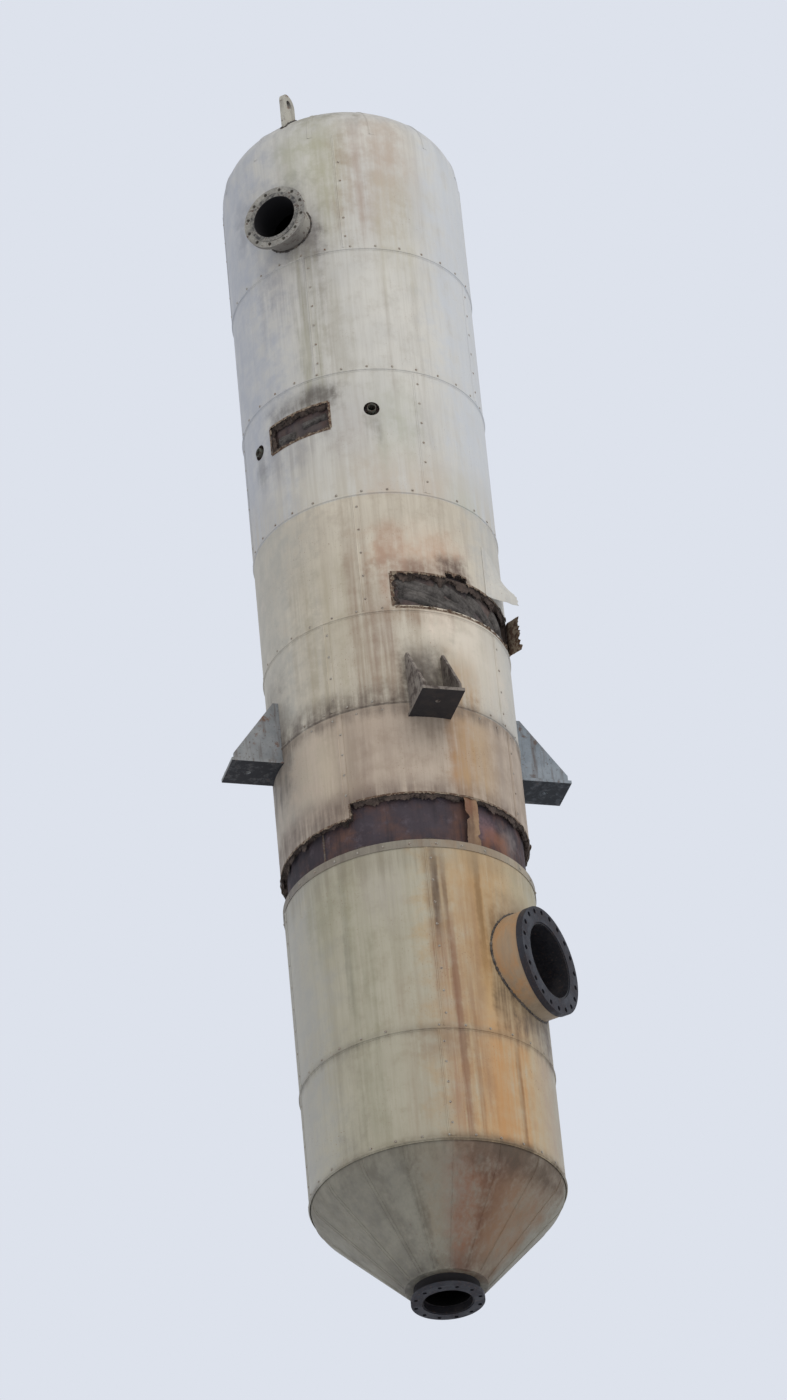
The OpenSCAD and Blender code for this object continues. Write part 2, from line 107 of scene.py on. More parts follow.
def linear(code):
    """An sRGB hex colour as the linear values that Blender takes."""
    parts = [int(code[i : i + 2], 16) / 255 for i in (1, 3, 5)]
    return tuple(c / 12.92 if c <= 0.04045 else ((c + 0.055) / 1.055) ** 2.4 for c in parts) + (1.0,)


def add(tree, kind, inputs=None, **settings):
    """Adds one node. An input is given a value, a hex colour, an output, or a node whose output feeds it."""
    node = tree.nodes.new(kind)
    for name, value in settings.items():
        setattr(node, name, value)
    for key, value in (inputs or {}).items():
        if isinstance(value, bpy.types.Node):
            value = next(output for output in value.outputs if output.enabled)
        if isinstance(value, bpy.types.NodeSocket):
            tree.links.new(value, node.inputs[key])
        elif isinstance(value, str):
            node.inputs[key].default_value = linear(value)
        else:
            node.inputs[key].default_value = value
    return node


# Stains and painted shade

# A stain, or painted shade laid the same way, has a tint, a middle angle and a half width in degrees,
# a lower and an upper edge and a strength. Feather is how far its ends fade, streaks how far it is runs
# and not blots, patchy how broken it is.
Stain = namedtuple(
    "Stain", "tint angle width low high strength feather streaks patchy", defaults=(0.8, 0.22, 1.0, 0.85)
)


def make_stain_group():
    """A ragged stain or painted shade on a stretch of the vessel, between two heights and around one angle.
    """
    tree = bpy.data.node_groups.new("ragged stain", "ShaderNodeTree")
    tree.interface.new_socket(name="Centre", in_out="INPUT", socket_type="NodeSocketVector")
    limits = ("Edge", "Core", "Low start", "Low full", "High full", "High end")
    for name in limits + ("Drift", "Streaks", "Patchy", "Strength"):
        tree.interface.new_socket(name=name, in_out="INPUT", socket_type="NodeSocketFloat")
    tree.interface.new_socket(name="Mask", in_out="OUTPUT", socket_type="NodeSocketFloat")
    given = add(tree, "NodeGroupInput").outputs
    here = add(tree, "ShaderNodeTexCoord").outputs["Object"]
    level = add(tree, "ShaderNodeVectorMath", {0: here, 1: (1, 1, 0)}, operation="MULTIPLY")
    outwards = add(tree, "ShaderNodeVectorMath", {0: level}, operation="NORMALIZE")
    near = add(tree, "ShaderNodeVectorMath", {0: outwards, 1: given["Centre"]}, operation="DOT_PRODUCT")
    height = add(tree, "ShaderNodeSeparateXYZ", {0: here}).outputs["Z"]
    # Streaks about 60 mm and 20 mm wide, and blots about 120 mm across
    drawn_out = add(tree, "ShaderNodeMapping", {0: here, 3: (1, 1, 0.05)})
    wide = add(tree, "ShaderNodeTexNoise", {"Vector": drawn_out, "Scale": 15.0, "Detail": 3.0})
    fine = add(tree, "ShaderNodeTexNoise", {"Vector": drawn_out, "Scale": 48.0, "Detail": 4.0})
    runs = add(tree, "ShaderNodeMix", {0: 0.42, 2: wide, 3: fine}, data_type="FLOAT")
    blots = add(tree, "ShaderNodeTexNoise", {"Vector": here, "Scale": 8.0, "Detail": 8.0, "Roughness": 0.66})
    pattern = add(tree, "ShaderNodeMix", {0: given["Streaks"], 2: blots, 3: runs}, data_type="FLOAT")
    # The paint shows between the runs and blots, as far as the stain is patchy
    full = add(tree, "ShaderNodeMapRange", {0: pattern, 1: 0.38, 2: 0.60})
    lack = add(tree, "ShaderNodeMath", {0: 1.0, 1: full}, operation="SUBTRACT")
    thinned = add(tree, "ShaderNodeMath", {0: lack, 1: given["Patchy"]}, operation="MULTIPLY")
    mask = add(tree, "ShaderNodeMath", {0: 1.0, 1: thinned}, operation="SUBTRACT", use_clamp=True)
    # Each streak ends at its own height, and the sides wander
    swing = add(tree, "ShaderNodeMath", {0: runs, 1: 0.5}, operation="SUBTRACT")
    uneven = add(tree, "ShaderNodeMath", {0: swing, 1: given["Drift"], 2: height}, operation="MULTIPLY_ADD")
    wander = add(tree, "ShaderNodeMath", {0: blots, 1: 0.5}, operation="SUBTRACT")
    span = add(tree, "ShaderNodeMath", {0: given["Core"], 1: given["Edge"]}, operation="SUBTRACT")
    shifted = add(tree, "ShaderNodeMath", {0: wander, 1: span}, operation="MULTIPLY")
    sideways = add(tree, "ShaderNodeMath", {0: shifted, 1: 1.6, 2: near}, operation="MULTIPLY_ADD")
    for value, none, all_there in (
        (sideways, "Edge", "Core"),
        (uneven, "Low start", "Low full"),
        (uneven, "High end", "High full"),
    ):
        ends = {0: value, 1: given[none], 2: given[all_there]}
        inside = add(tree, "ShaderNodeMapRange", ends, interpolation_type="SMOOTHSTEP")
        mask = add(tree, "ShaderNodeMath", {0: mask, 1: inside}, operation="MULTIPLY")
    laid = add(tree, "ShaderNodeMath", {0: mask, 1: given["Strength"]}, operation="MULTIPLY", use_clamp=True)
    add(tree, "NodeGroupOutput", {0: laid})
    return tree


STAIN_GROUP = make_stain_group()


def stained(tree, colour, stain):
    """Lays one stain or painted shade over a colour. A half width of 180 degrees goes all the way round."""
    edge, core = math.cos(math.radians(stain.width * 1.35)), math.cos(math.radians(stain.width * 0.15))
    if stain.width >= 180:
        edge, core = -3.0, -2.0
    mask = add(
        tree,
        "ShaderNodeGroup",
        {
            "Centre": towards(stain.angle),
            "Edge": edge,
            "Core": core,
            "Low start": stain.low - stain.feather,
            "Low full": stain.low + stain.feather,
            "High full": stain.high - stain.feather,
            "High end": stain.high + stain.feather,
            "Drift": stain.streaks * stain.feather * 4,
            "Streaks": stain.streaks,
            "Patchy": stain.patchy,
            "Strength": stain.strength,
        },
        node_tree=STAIN_GROUP,
    )
    return add(tree, "ShaderNodeMix", {0: mask, 6: colour, 7: stain.tint}, data_type="RGBA")


# Finishes


def blank(name):
    """A new material, its empty tree, and the place on the vessel."""
    material = bpy.data.materials.new(name)
    material.use_nodes = True
    tree = material.node_tree
    tree.nodes.clear()
    here = add(tree, "ShaderNodeTexCoord").outputs["Object"]
    return material, tree, here


def tinted(tree, colour, tint, value, start, full, strength=1.0):
    """Lays a tint over a colour, from the value at which it starts to the one at which it is full."""
    amount = add(tree, "ShaderNodeMapRange", {0: value, 1: start, 2: full, 4: strength})
    return add(tree, "ShaderNodeMix", {0: amount, 6: colour, 7: tint}, data_type="RGBA")


def patched(tree, where, colour, tint, grain, span):
    """Lays a tint over a colour in the patches of a random pattern. Gives the new colour and the pattern.

    Grain is the pattern's scale, detail and roughness. Span is where the tint starts, where it is full
    and how strong it is there.
    """
    scale, detail, roughness = grain
    settings = {"Vector": where, "Scale": scale, "Detail": detail, "Roughness": roughness}
    pattern = add(tree, "ShaderNodeTexNoise", settings)
    return tinted(tree, colour, tint, pattern, *span), pattern


def surface(tree, colour, roughness, normal, metallic=0.0):
    """The shader at the end of a finish."""
    shader = add(
        tree,
        "ShaderNodeBsdfPrincipled",
        {"Base Color": colour, "Roughness": roughness, "Metallic": metallic, "Normal": normal},
    )
    add(tree, "ShaderNodeOutputMaterial", {0: shader})


def painted_sheet(name, pale, grey, grime, stains, rust):
    """Oil paint on rolled steel sheet, chalked by sun: dull, streaked by rain, dirty, rust-pricked."""
    material, tree, here = blank(name)
    colour, _ = patched(tree, here, pale, grey, (1.4, 5.0, 0.6), (0.38, 0.64))
    # Rain runs about 60 mm wide, and fine ones of about 15 mm
    drawn_out = add(tree, "ShaderNodeMapping", {0: here, 3: (1, 1, 0.05)})
    colour, _ = patched(tree, drawn_out, colour, grime, (15.0, 6.0, 0.62), (0.50, 0.74, 0.42))
    colour, _ = patched(tree, drawn_out, colour, grime, (62.0, 6.0, 0.62), (0.46, 0.76, 0.26))
    # Blots of dirt about 120 mm across
    colour, blots = patched(tree, here, colour, grime, (8.0, 7.0, 0.68), (0.50, 0.76, 0.40))
    for stain in stains:
        colour = stained(tree, colour, stain)
    # Rust pricks of 3 to 8 mm where the paint has gone
    prick = add(tree, "ShaderNodeTexNoise", {"Vector": here, "Scale": 130.0, "Detail": 2.0})
    spot = add(tree, "ShaderNodeMapRange", {0: prick, 1: 0.66, 2: 0.73})
    worn = add(tree, "ShaderNodeTexNoise", {"Vector": here, "Scale": 3.0, "Detail": 4.0})
    bare = add(tree, "ShaderNodeMapRange", {0: worn, 1: 0.45, 2: 0.65, 4: rust * 2})
    pricks = add(tree, "ShaderNodeMath", {0: spot, 1: bare}, operation="MULTIPLY", use_clamp=True)
    colour = add(tree, "ShaderNodeMix", {0: pricks, 6: colour, 7: "#7A5236"}, data_type="RGBA")
    # Shallow dents of some 3 mm over 400 mm, and chalky grain
    dent = add(tree, "ShaderNodeTexNoise", {"Vector": here, "Scale": 2.6, "Detail": 2.0})
    dented = add(tree, "ShaderNodeBump", {"Strength": 0.6, "Distance": 0.02, "Height": dent})
    grain = add(tree, "ShaderNodeTexNoise", {"Vector": here, "Scale": 420.0, "Detail": 2.0})
    relief = {"Strength": 0.4, "Distance": 0.0006, "Height": grain, "Normal": dented}
    dull = add(tree, "ShaderNodeMapRange", {0: blots, 1: 0.35, 2: 0.7, 3: 0.52, 4: 0.78})
    surface(tree, colour, dull, add(tree, "ShaderNodeBump", relief))
    return material


def rusted_plate(name, scale, rust, pale, stains=()):
    """Hot-rolled boiler plate that has stood wet under wool: dark scale, rust blooms and pits."""
    material, tree, here = blank(name)
    colour, bloom = patched(tree, here, scale, rust, (5.5, 8.0, 0.66), (0.46, 0.66))
    patches = {"Vector": here, "Scale": 11.0, "Detail": 7.0, "Roughness": 0.7, "W": 3.0}
    patch = add(tree, "ShaderNodeTexNoise", patches, noise_dimensions="4D")
    colour = tinted(tree, colour, pale, patch, 0.54, 0.70, 0.75)
    # Black runs about 40 mm wide
    drawn_out = add(tree, "ShaderNodeMapping", {0: here, 3: (1, 1, 0.07)})
    colour, _ = patched(tree, drawn_out, colour, "#1E1B1E", (26.0, 5.0, 0.6), (0.5, 0.7, 0.6))
    for stain in stains:
        colour = stained(tree, colour, stain)
    # The inside is painted near-black: painted shade of the vessel's dark inside
    level = add(tree, "ShaderNodeVectorMath", {0: here, 1: (1, 1, 0)}, operation="MULTIPLY")
    reach = add(tree, "ShaderNodeVectorMath", {0: level}, operation="LENGTH")
    colour = tinted(tree, colour, "#1D1A1A", reach, SHELL_INNER_R + 0.0025, SHELL_INNER_R + 0.0015)
    # The blooms stand off in flakes, and the plate is pitted by up to 6 mm
    flaky = add(tree, "ShaderNodeBump", {"Strength": 0.7, "Distance": 0.004, "Height": bloom})
    pit = add(tree, "ShaderNodeTexNoise", {"Vector": here, "Scale": 170.0, "Detail": 6.0, "Roughness": 0.7})
    relief = {"Strength": 0.8, "Distance": 0.0015, "Height": pit, "Normal": flaky}
    surface(tree, colour, 0.86, add(tree, "ShaderNodeBump", relief))
    return material


def soaked_wool(name, dark, mid, light):
    """Mineral wool that rain has soaked and dried: matted brown fibre, darker where it is still wet."""
    material, tree, here = blank(name)
    colour, _ = patched(tree, here, dark, mid, (16.0, 8.0, 0.72), (0.36, 0.66))
    # Fibres about 10 mm long that lie level
    lying = add(tree, "ShaderNodeMapping", {0: here, 3: (1, 1, 6)})
    colour, fibres = patched(tree, lying, colour, light, (90.0, 6.0, 0.75), (0.52, 0.75, 0.5))
    matted = add(tree, "ShaderNodeBump", {"Strength": 1.0, "Distance": 0.006, "Height": fibres})
    surface(tree, colour, 0.97, matted)
    return material


def flange_steel(name, dark, rust):
    """Forged flange steel, black with old grease and painted shade, with thin rust."""
    material, tree, here = blank(name)
    colour, patches = patched(tree, here, dark, rust, (9.0, 8.0, 0.68), (0.48, 0.72, 0.8))
    # Rust flecks about 13 mm across, and pits of 4 mm
    colour, _ = patched(tree, here, colour, "#5A4438", (75.0, 5.0, 0.5), (0.58, 0.70, 0.45))
    pit = add(tree, "ShaderNodeTexNoise", {"Vector": here, "Scale": 230.0, "Detail": 5.0, "Roughness": 0.7})
    pitted = add(tree, "ShaderNodeBump", {"Strength": 0.6, "Distance": 0.001, "Height": pit})
    greasy = add(tree, "ShaderNodeMapRange", {0: patches, 1: 0.4, 2: 0.6, 3: 0.5, 4: 0.8})
    surface(tree, colour, greasy, pitted)
    return material


def nozzle_paint(name):
    """Cream paint over a weld-neck flange: chipped to rust at its edges, with painted shade below and in the
    bore.
    """
    material, tree, here = blank(name)
    colour, _ = patched(tree, here, "#B4B1A6", "#8F8C84", (6.0, 6.0, 0.6), (0.4, 0.65))
    colour, chips = patched(tree, here, colour, "#5C4A3E", (38.0, 6.0, 0.65), (0.57, 0.63))
    # Faces that look down are painted darker: painted shade
    normal = add(tree, "ShaderNodeNewGeometry").outputs["Normal"]
    facing = add(tree, "ShaderNodeSeparateXYZ", {0: normal}).outputs["Z"]
    colour = tinted(tree, colour, "#5B554F", facing, 0.1, -0.8, 0.75)
    # The bore is painted black: painted shade of the dark inside
    place = add(tree, "ShaderNodeVectorMath", {0: here, 1: (0, 0, -NOZZLE_Z)}, operation="ADD")
    off_axis = add(tree, "ShaderNodeVectorMath", {0: place, 1: (1, 0, 1)}, operation="MULTIPLY")
    reach = add(tree, "ShaderNodeVectorMath", {0: off_axis}, operation="LENGTH")
    colour = tinted(tree, colour, "#141215", reach, NOZZLE_BORE_R + 0.0015, NOZZLE_BORE_R + 0.0005)
    # What is left of the old gasket blackens the raised face, which stands out from the flange's face
    depth = add(tree, "ShaderNodeSeparateXYZ", {0: here}).outputs["Y"]
    raised = add(tree, "ShaderNodeMapRange", {0: depth, 1: FLANGE_FACE_Y + 0.0005, 2: FLANGE_FACE_Y - 0.0005})
    stuck = add(tree, "ShaderNodeMapRange", {0: chips, 1: 0.40, 2: 0.56, 3: 0.95, 4: 0.45})
    gasket = add(tree, "ShaderNodeMath", {0: raised, 1: stuck}, operation="MULTIPLY")
    colour = add(tree, "ShaderNodeMix", {0: gasket, 6: colour, 7: "#33302F"}, data_type="RGBA")
    chipped = add(tree, "ShaderNodeBump", {"Strength": 0.5, "Distance": 0.0012, "Height": chips})
    surface(tree, colour, 0.7, chipped)
    return material


def bracket_paint(name, light, dark, bare=0.58, wear="#694A37", under="#16161B"):
    """Grey primer on thick plate: rust along cut edges, runs down the gussets, painted shade underneath."""
    material, tree, here = blank(name)
    colour, _ = patched(tree, here, light, dark, (5.0, 7.0, 0.65), (0.38, 0.66))
    # Runs about 30 mm wide
    drawn_out = add(tree, "ShaderNodeMapping", {0: here, 3: (1, 1, 0.09)})
    colour, _ = patched(tree, drawn_out, colour, "#574B43", (34.0, 5.0, 0.6), (0.50, 0.72, 0.8))
    # Rust patches of a hand's breadth with ragged rims, and chips of 5 to 20 mm
    colour, patches = patched(tree, here, colour, wear, (13.0, 9.0, 0.72), (bare - 0.03, bare + 0.05, 0.9))
    colour, chips = patched(tree, here, colour, "#4A372C", (62.0, 6.0, 0.7), (0.60, 0.65, 0.85))
    # Faces that look down take the under colour, a painted shade, weaker where rust patches lie
    normal = add(tree, "ShaderNodeNewGeometry").outputs["Normal"]
    facing = add(tree, "ShaderNodeSeparateXYZ", {0: normal}).outputs["Z"]
    below = add(tree, "ShaderNodeMapRange", {0: facing, 1: -0.3, 2: -0.9})
    left_on = add(tree, "ShaderNodeMapRange", {0: patches, 1: 0.66, 2: 0.50, 3: 0.55, 4: 0.97})
    painted_underside_shade = add(tree, "ShaderNodeMath", {0: below, 1: left_on}, operation="MULTIPLY")
    colour = add(tree, "ShaderNodeMix", {0: painted_underside_shade, 6: colour, 7: under}, data_type="RGBA")
    chipped = add(tree, "ShaderNodeBump", {"Strength": 0.6, "Distance": 0.0015, "Height": chips})
    relief = {"Strength": 0.5, "Distance": 0.003, "Height": patches, "Normal": chipped}
    surface(tree, colour, 0.76, add(tree, "ShaderNodeBump", relief))
    return material


def worn_metal(name, bright, rust, roughness, share, metallic, scale=140.0):
    """Small steel parts: zinc or mill finish that rust has half taken."""
    material, tree, here = blank(name)
    start = 0.62 - 0.3 * share
    colour, patches = patched(tree, here, bright, rust, (scale, 5.0, 0.65), (start, start + 0.1))
    pitted = add(tree, "ShaderNodeBump", {"Strength": 0.5, "Distance": 0.0006, "Height": patches})
    surface(tree, colour, roughness, pitted, metallic)
    return material


def old_mastic(name):
    """Bituminous joint mastic, gone hard: brown-black, a little glossy, dusty on top."""
    material, tree, here = blank(name)
    colour, dust = patched(tree, here, "#2A2522", "#6A6054", (24.0, 7.0, 0.7), (0.42, 0.68))
    lumps = add(tree, "ShaderNodeBump", {"Strength": 0.8, "Distance": 0.003, "Height": dust})
    surface(tree, colour, 0.6, lumps)
    return material


UPPER_STAINS_AND_SHADE = (
    # Painted shade makes the left side, turned from the light, a bluer grey; the right side is bluer grey at
    # its edge
    Stain("#ABAFB7", -62, 52, 1.2, 5.6, 0.85, streaks=0.4, patchy=0.3),
    Stain("#C6CBD0", 108, 38, 1.4, 5.6, 0.75, streaks=0.4, patchy=0.3),
    # The head is greyer, and a patch on its right greyer still
    Stain("#9EA0A0", 0, 180, 4.72, 5.6, 0.55, streaks=0.5, patchy=0.5),
    Stain("#A6A7A9", 72, 26, 4.80, 5.2, 0.75, feather=0.12, streaks=0.3, patchy=0.4),
    Stain("#7F7B69", 24, 20, 4.74, 4.98, 0.6, feather=0.10, streaks=0.2),
    Stain("#ACAB93", 14, 16, 4.15, 4.72, 0.7, streaks=0.4),
    Stain("#A8A48B", 24, 9, 3.80, 4.70, 0.7, streaks=0.8),
    Stain("#A89688", 41, 15, 3.80, 4.72, 0.7, streaks=0.6),
    Stain("#BAAC9B", 55, 12, 4.10, 4.72, 0.6, streaks=0.5),
    Stain("#B5AF98", 52, 10, 3.45, 4.25, 0.6, streaks=0.8),
    # Painted shadow that the vapour nozzle casts to its lower right, grey below it that is
    # its shadow and grime, and grey above and left of it
    Stain("#6E6869", 8, 9, 3.62, 3.98, 0.8, feather=0.12, streaks=0.4),
    Stain("#8D8887", -2, 16, 3.20, 3.74, 0.7, streaks=0.9),
    Stain("#8B8A8B", -12, 22, 3.95, 4.35, 0.5, feather=0.15, streaks=0.2),
    # The run from the head down to the upper hole
    Stain("#9B9781", 6, 7, 2.40, 3.80, 0.7, patchy=1.0),
    Stain("#A29D8C", 22, 7, 2.60, 3.70, 0.45, patchy=1.0),
    Stain("#3E3933", 8, 7, 2.46, 2.62, 0.9, feather=0.07, streaks=0.5),
    Stain("#6C665E", -3, 20, 2.42, 2.61, 0.9, feather=0.09, streaks=0.5),
    Stain("#8F8983", -6, 22, 2.05, 2.32, 0.55, feather=0.12, streaks=0.8),
    Stain("#B0A79D", 24, 11, 1.95, 2.42, 0.55, streaks=0.6),
    Stain("#B3B5A2", 42, 12, 2.00, 2.55, 0.5, streaks=0.6),
    Stain("#6E675E", 32, 4, 2.15, 2.34, 0.6, feather=0.08, streaks=0.8),
    Stain("#7C7975", -32, 4, 2.12, 2.34, 0.6, feather=0.08, streaks=0.8),
    # Tan runs begin toward the lower sheets
    Stain("#BCB4A2", 10, 180, 1.40, 2.05, 0.6, streaks=0.9, patchy=0.9),
    Stain("#C0AE9C", 46, 22, 1.50, 1.95, 0.45, streaks=0.5),
    Stain("#B2B39F", 78, 12, 1.40, 1.85, 0.5, streaks=0.5),
)

MIDDLE_STAINS_AND_SHADE = (
    # Painted shade greys the left side, turned from the light; the right side is bluer grey at its edge
    Stain("#ABA9A0", -60, 50, -0.2, 1.9, 0.85, streaks=0.4, patchy=0.3),
    Stain("#B5B7B4", 112, 34, -0.2, 1.9, 0.7, streaks=0.4, patchy=0.3),
    Stain("#AEA48C", 6, 20, 0.00, 1.3, 0.7, streaks=0.8),
    Stain("#94806E", 18, 6, 0.06, 1.40, 0.75, patchy=0.9),
    Stain("#9C8976", 27, 7, 0.06, 1.00, 0.65, patchy=0.9),
    Stain("#A0937C", -14, 6, 0.10, 1.25, 0.45, patchy=0.9),
    # Rust halo over the torn hole, dark at its edge, and pale paint below it
    Stain("#BE9C82", 47, 24, 1.10, 1.42, 0.75, feather=0.16, streaks=0.5),
    Stain("#7C6252", 52, 26, 1.02, 1.20, 0.8, feather=0.06, streaks=0.4),
    Stain("#54443A", 66, 9, 1.05, 1.26, 0.9, feather=0.06, streaks=0.4),
    Stain("#A98D78", 34, 6, 0.86, 1.45, 0.75, feather=0.1, streaks=0.5),
    Stain("#8A7058", 50, 22, 0.70, 0.86, 0.7, feather=0.06, streaks=0.9),
    Stain("#DACDBB", 55, 8, 0.56, 0.84, 0.9, feather=0.08, streaks=0.3),
    Stain("#DDD3C2", 69, 9, 0.50, 0.82, 0.9, feather=0.09, streaks=0.3),
    Stain("#D2C8B7", 80, 16, 0.20, 0.80, 0.75, streaks=0.5),
    Stain("#A98253", 63, 9, 0.06, 0.44, 0.8, streaks=0.8),
    Stain("#8F7458", 34, 12, 0.06, 0.36, 0.65, streaks=0.8),
    Stain("#8A7566", 27, 5, 0.40, 0.84, 0.5),
    # Painted shade under the lap at the joint above the brackets, with grime: a dark smear, and a line all
    # round
    Stain("#564A40", 4, 52, 0.02, 0.24, 0.95, feather=0.09, streaks=0.6),
    Stain("#685B50", 0, 180, 0.02, 0.13, 0.85, feather=0.06, streaks=0.6),
    # Painted shade and dirt in the pockets between the gussets of the front brackets
    Stain("#6B6158", -45, 16, 0.10, 0.62, 0.6, feather=0.12, streaks=0.8),
    Stain("#4A4038", 44, 10, 0.00, 0.50, 0.95, feather=0.12, streaks=0.4, patchy=0.4),
)

SHORT_STAINS_AND_SHADE = (
    # Painted shade greys the left side, turned from the light
    Stain("#9B958A", -60, 46, -0.9, 0.2, 0.8, streaks=0.4, patchy=0.3),
    Stain("#C2B49C", -8, 15, -0.46, 0.00, 0.75, streaks=0.7),
    Stain("#A3907F", 24, 20, -0.50, 0.05, 0.6, streaks=0.8),
    Stain("#A2774A", 59, 7, -0.66, 0.10, 0.8, streaks=0.9),
    Stain("#B3956D", 68, 11, -0.60, 0.12, 0.75, streaks=0.9),
    Stain("#9A8B7D", 94, 20, -0.62, 0.12, 0.6, streaks=0.7),
    Stain("#5D4C42", 10, 100, -0.62, -0.47, 0.8, feather=0.08, streaks=0.9),
    Stain("#5D4C42", -44, 50, -0.72, -0.57, 0.75, feather=0.08, streaks=0.9),
    Stain("#7A6A5B", 6, 9, -0.62, 0.10, 0.3),
    # Painted shade and grime just under the lap at the joint above the brackets, all round
    Stain("#665A4E", 0, 180, 0.03, 0.12, 0.75, feather=0.05, streaks=0.6),
    Stain("#5B534C", -45, 15, -0.25, 0.12, 0.7, feather=0.12, streaks=0.8),
    Stain("#6B5C4D", 45, 13, -0.16, 0.12, 0.35, feather=0.12, streaks=0.8),
)

LOWER_STAINS_AND_SHADE = (
    # Painted shade greys the left side, turned from the light
    Stain("#A5A49E", -64, 46, -3.3, -0.7, 0.85, streaks=0.4, patchy=0.3),
    # Right of the upright lap the sheet has gone tan
    Stain("#BF9E70", 67, 32, -3.3, -0.80, 0.9, streaks=0.8, patchy=0.45),
    Stain("#B98650", 65, 15, -3.20, -2.10, 0.75, streaks=0.8),
    Stain("#A9824F", 61, 8, -1.85, -0.95, 0.75, streaks=0.9),
    Stain("#57452F", 69, 6, -2.20, -1.40, 0.8, feather=0.16, streaks=0.9),
    Stain("#7C6650", 40, 5, -1.85, -0.96, 0.7),
    Stain("#4E3B2B", 39.5, 1.6, -1.62, -0.96, 0.85, streaks=0.9, patchy=0.5),
    Stain("#64492F", 43.5, 1.0, -2.30, -1.10, 0.7, patchy=0.7),
    Stain("#9A7457", 41, 6, -3.05, -1.55, 0.8),
    Stain("#7A5239", 45, 1.6, -3.00, -1.50, 0.75, patchy=0.6),
    Stain("#87603F", 51, 1.4, -2.95, -1.90, 0.75, patchy=0.6),
    Stain("#9A7C5E", 52, 6, -2.80, -1.15, 0.65, patchy=1.0),
    Stain("#7F6038", 60, 1.6, -1.60, -0.96, 0.7, patchy=0.6),
    Stain("#6E5031", 73, 1.5, -3.00, -2.30, 0.65, patchy=0.7),
    Stain("#75736A", -4, 1.6, -1.90, -1.00, 0.4, patchy=0.8),
    Stain("#7E6750", 36, 12, -2.46, -2.26, 0.7, feather=0.08, streaks=0.6),
    Stain("#A2947F", 26, 12, -3.00, -1.80, 0.5, streaks=0.9, patchy=1.0),
    # Left of it the sheet is greenish grey
    Stain("#969176", -12, 14, -1.50, -0.96, 0.65, streaks=0.6),
    Stain("#A79F96", 16, 10, -1.40, -1.05, 0.5, streaks=0.6),
    Stain("#918E76", 2, 7, -3.00, -1.40, 0.5, patchy=1.0),
    Stain("#8F8872", -8, 9, -2.50, -2.20, 0.55, streaks=0.5),
    Stain("#8A8471", -9, 8, -3.10, -2.72, 0.6, streaks=0.6),
    Stain("#AAAD97", 95, 16, -1.35, -0.90, 0.6, streaks=0.6),
    Stain("#A59B92", 106, 20, -3.10, -1.90, 0.65, streaks=0.5),
    Stain("#564B43", 90, 20, -2.24, -1.25, 0.85, feather=0.14, streaks=0.6),
    # Painted shadow under the sheet's lower edge at the right, where it stands off the cone
    Stain("#4D4032", 66, 42, -3.09, -3.00, 0.85, feather=0.05, streaks=0.5),
    Stain("#6A614F", 0, 180, -3.09, -3.02, 0.7, feather=0.04, streaks=0.6),
    Stain("#6B6457", 0, 180, -2.30, -2.24, 0.45, feather=0.03, streaks=0.7),
    Stain("#7B7260", 0, 180, -1.10, -0.90, 0.4, feather=0.08),
)

CONE_STAINS_AND_SHADE = (
    Stain("#79756A", -34, 44, -3.9, -2.8, 0.75, streaks=0.9, patchy=0.6),
    Stain("#8F8069", 28, 12, -3.9, -3.0, 0.6),
    Stain("#8C7767", 40, 10, -3.9, -3.0, 0.7),
    Stain("#84593D", 58, 20, -3.9, -2.9, 0.85, patchy=0.6),
    Stain("#64442F", 63, 10, -3.55, -2.95, 0.75),
    Stain("#8A6C50", 88, 24, -3.9, -2.90, 0.8, streaks=0.9, patchy=0.5),
    Stain("#6B6455", -4, 5, -3.9, -3.0, 0.5, patchy=1.0),
    Stain("#5F5849", 16, 4, -3.9, -3.0, 0.5, patchy=1.0),
    # Painted shadow under the lowest sheet's edge, dark brown at the right where it stands off
    Stain("#46382D", 76, 32, -3.19, -2.98, 0.8, feather=0.08, streaks=0.5, patchy=0.45),
    Stain("#57503F", 0, 180, -3.12, -2.98, 0.35, feather=0.08, streaks=0.7),
    Stain("#3E3932", 0, 180, -3.80, -3.58, 0.7, feather=0.10, streaks=0.8),
)

SHELL_STAINS = (
    Stain("#201D23", -36, 18, -0.95, -0.50, 0.8, streaks=0.4),
    Stain("#453D43", 28, 22, -0.88, -0.60, 0.7, feather=0.08, streaks=0.3),
    Stain("#84686D", 71, 6, -0.82, -0.64, 0.8, feather=0.05, streaks=0.2),
    Stain("#857A76", 87, 7, -0.86, -0.66, 0.8, feather=0.06, streaks=0.3),
    Stain("#7E4F33", 78, 9, -0.92, -0.72, 0.85, feather=0.06, streaks=0.4),
    Stain("#6B4632", 58, 7, -0.92, -0.56, 0.7, streaks=0.7),
    Stain("#6D665F", 62, 40, 0.84, 1.12, 0.7, feather=0.05, streaks=0.4),
    Stain("#5F5650", -4, 16, 2.28, 2.46, 0.8, feather=0.04, streaks=0.4),
)

RIM_STAINS = (
    Stain("#B08E66", 68, 32, -1.0, -0.88, 0.8, patchy=0.8),
    Stain("#6E6E70", -52, 26, -1.0, -0.88, 0.8, patchy=0.5),
    Stain("#BDB39E", 88, 14, -1.0, -0.88, 0.7, patchy=0.5),
)

STRAP_STAINS = (
    Stain("#5C4434", 59, 2.4, -1.0, -0.5, 0.8, feather=0.1, streaks=0.7),
    Stain("#6E5139", 62, 6, -1.0, -0.82, 0.8, feather=0.08, streaks=0.3),
    Stain("#7A4C30", 61, 8, -0.69, -0.50, 0.8, feather=0.08, streaks=0.7),
)

SLEEVE_STAINS = (
    Stain("#B58450", 66, 14, -2.1, -1.3, 0.7, patchy=0.8),
)

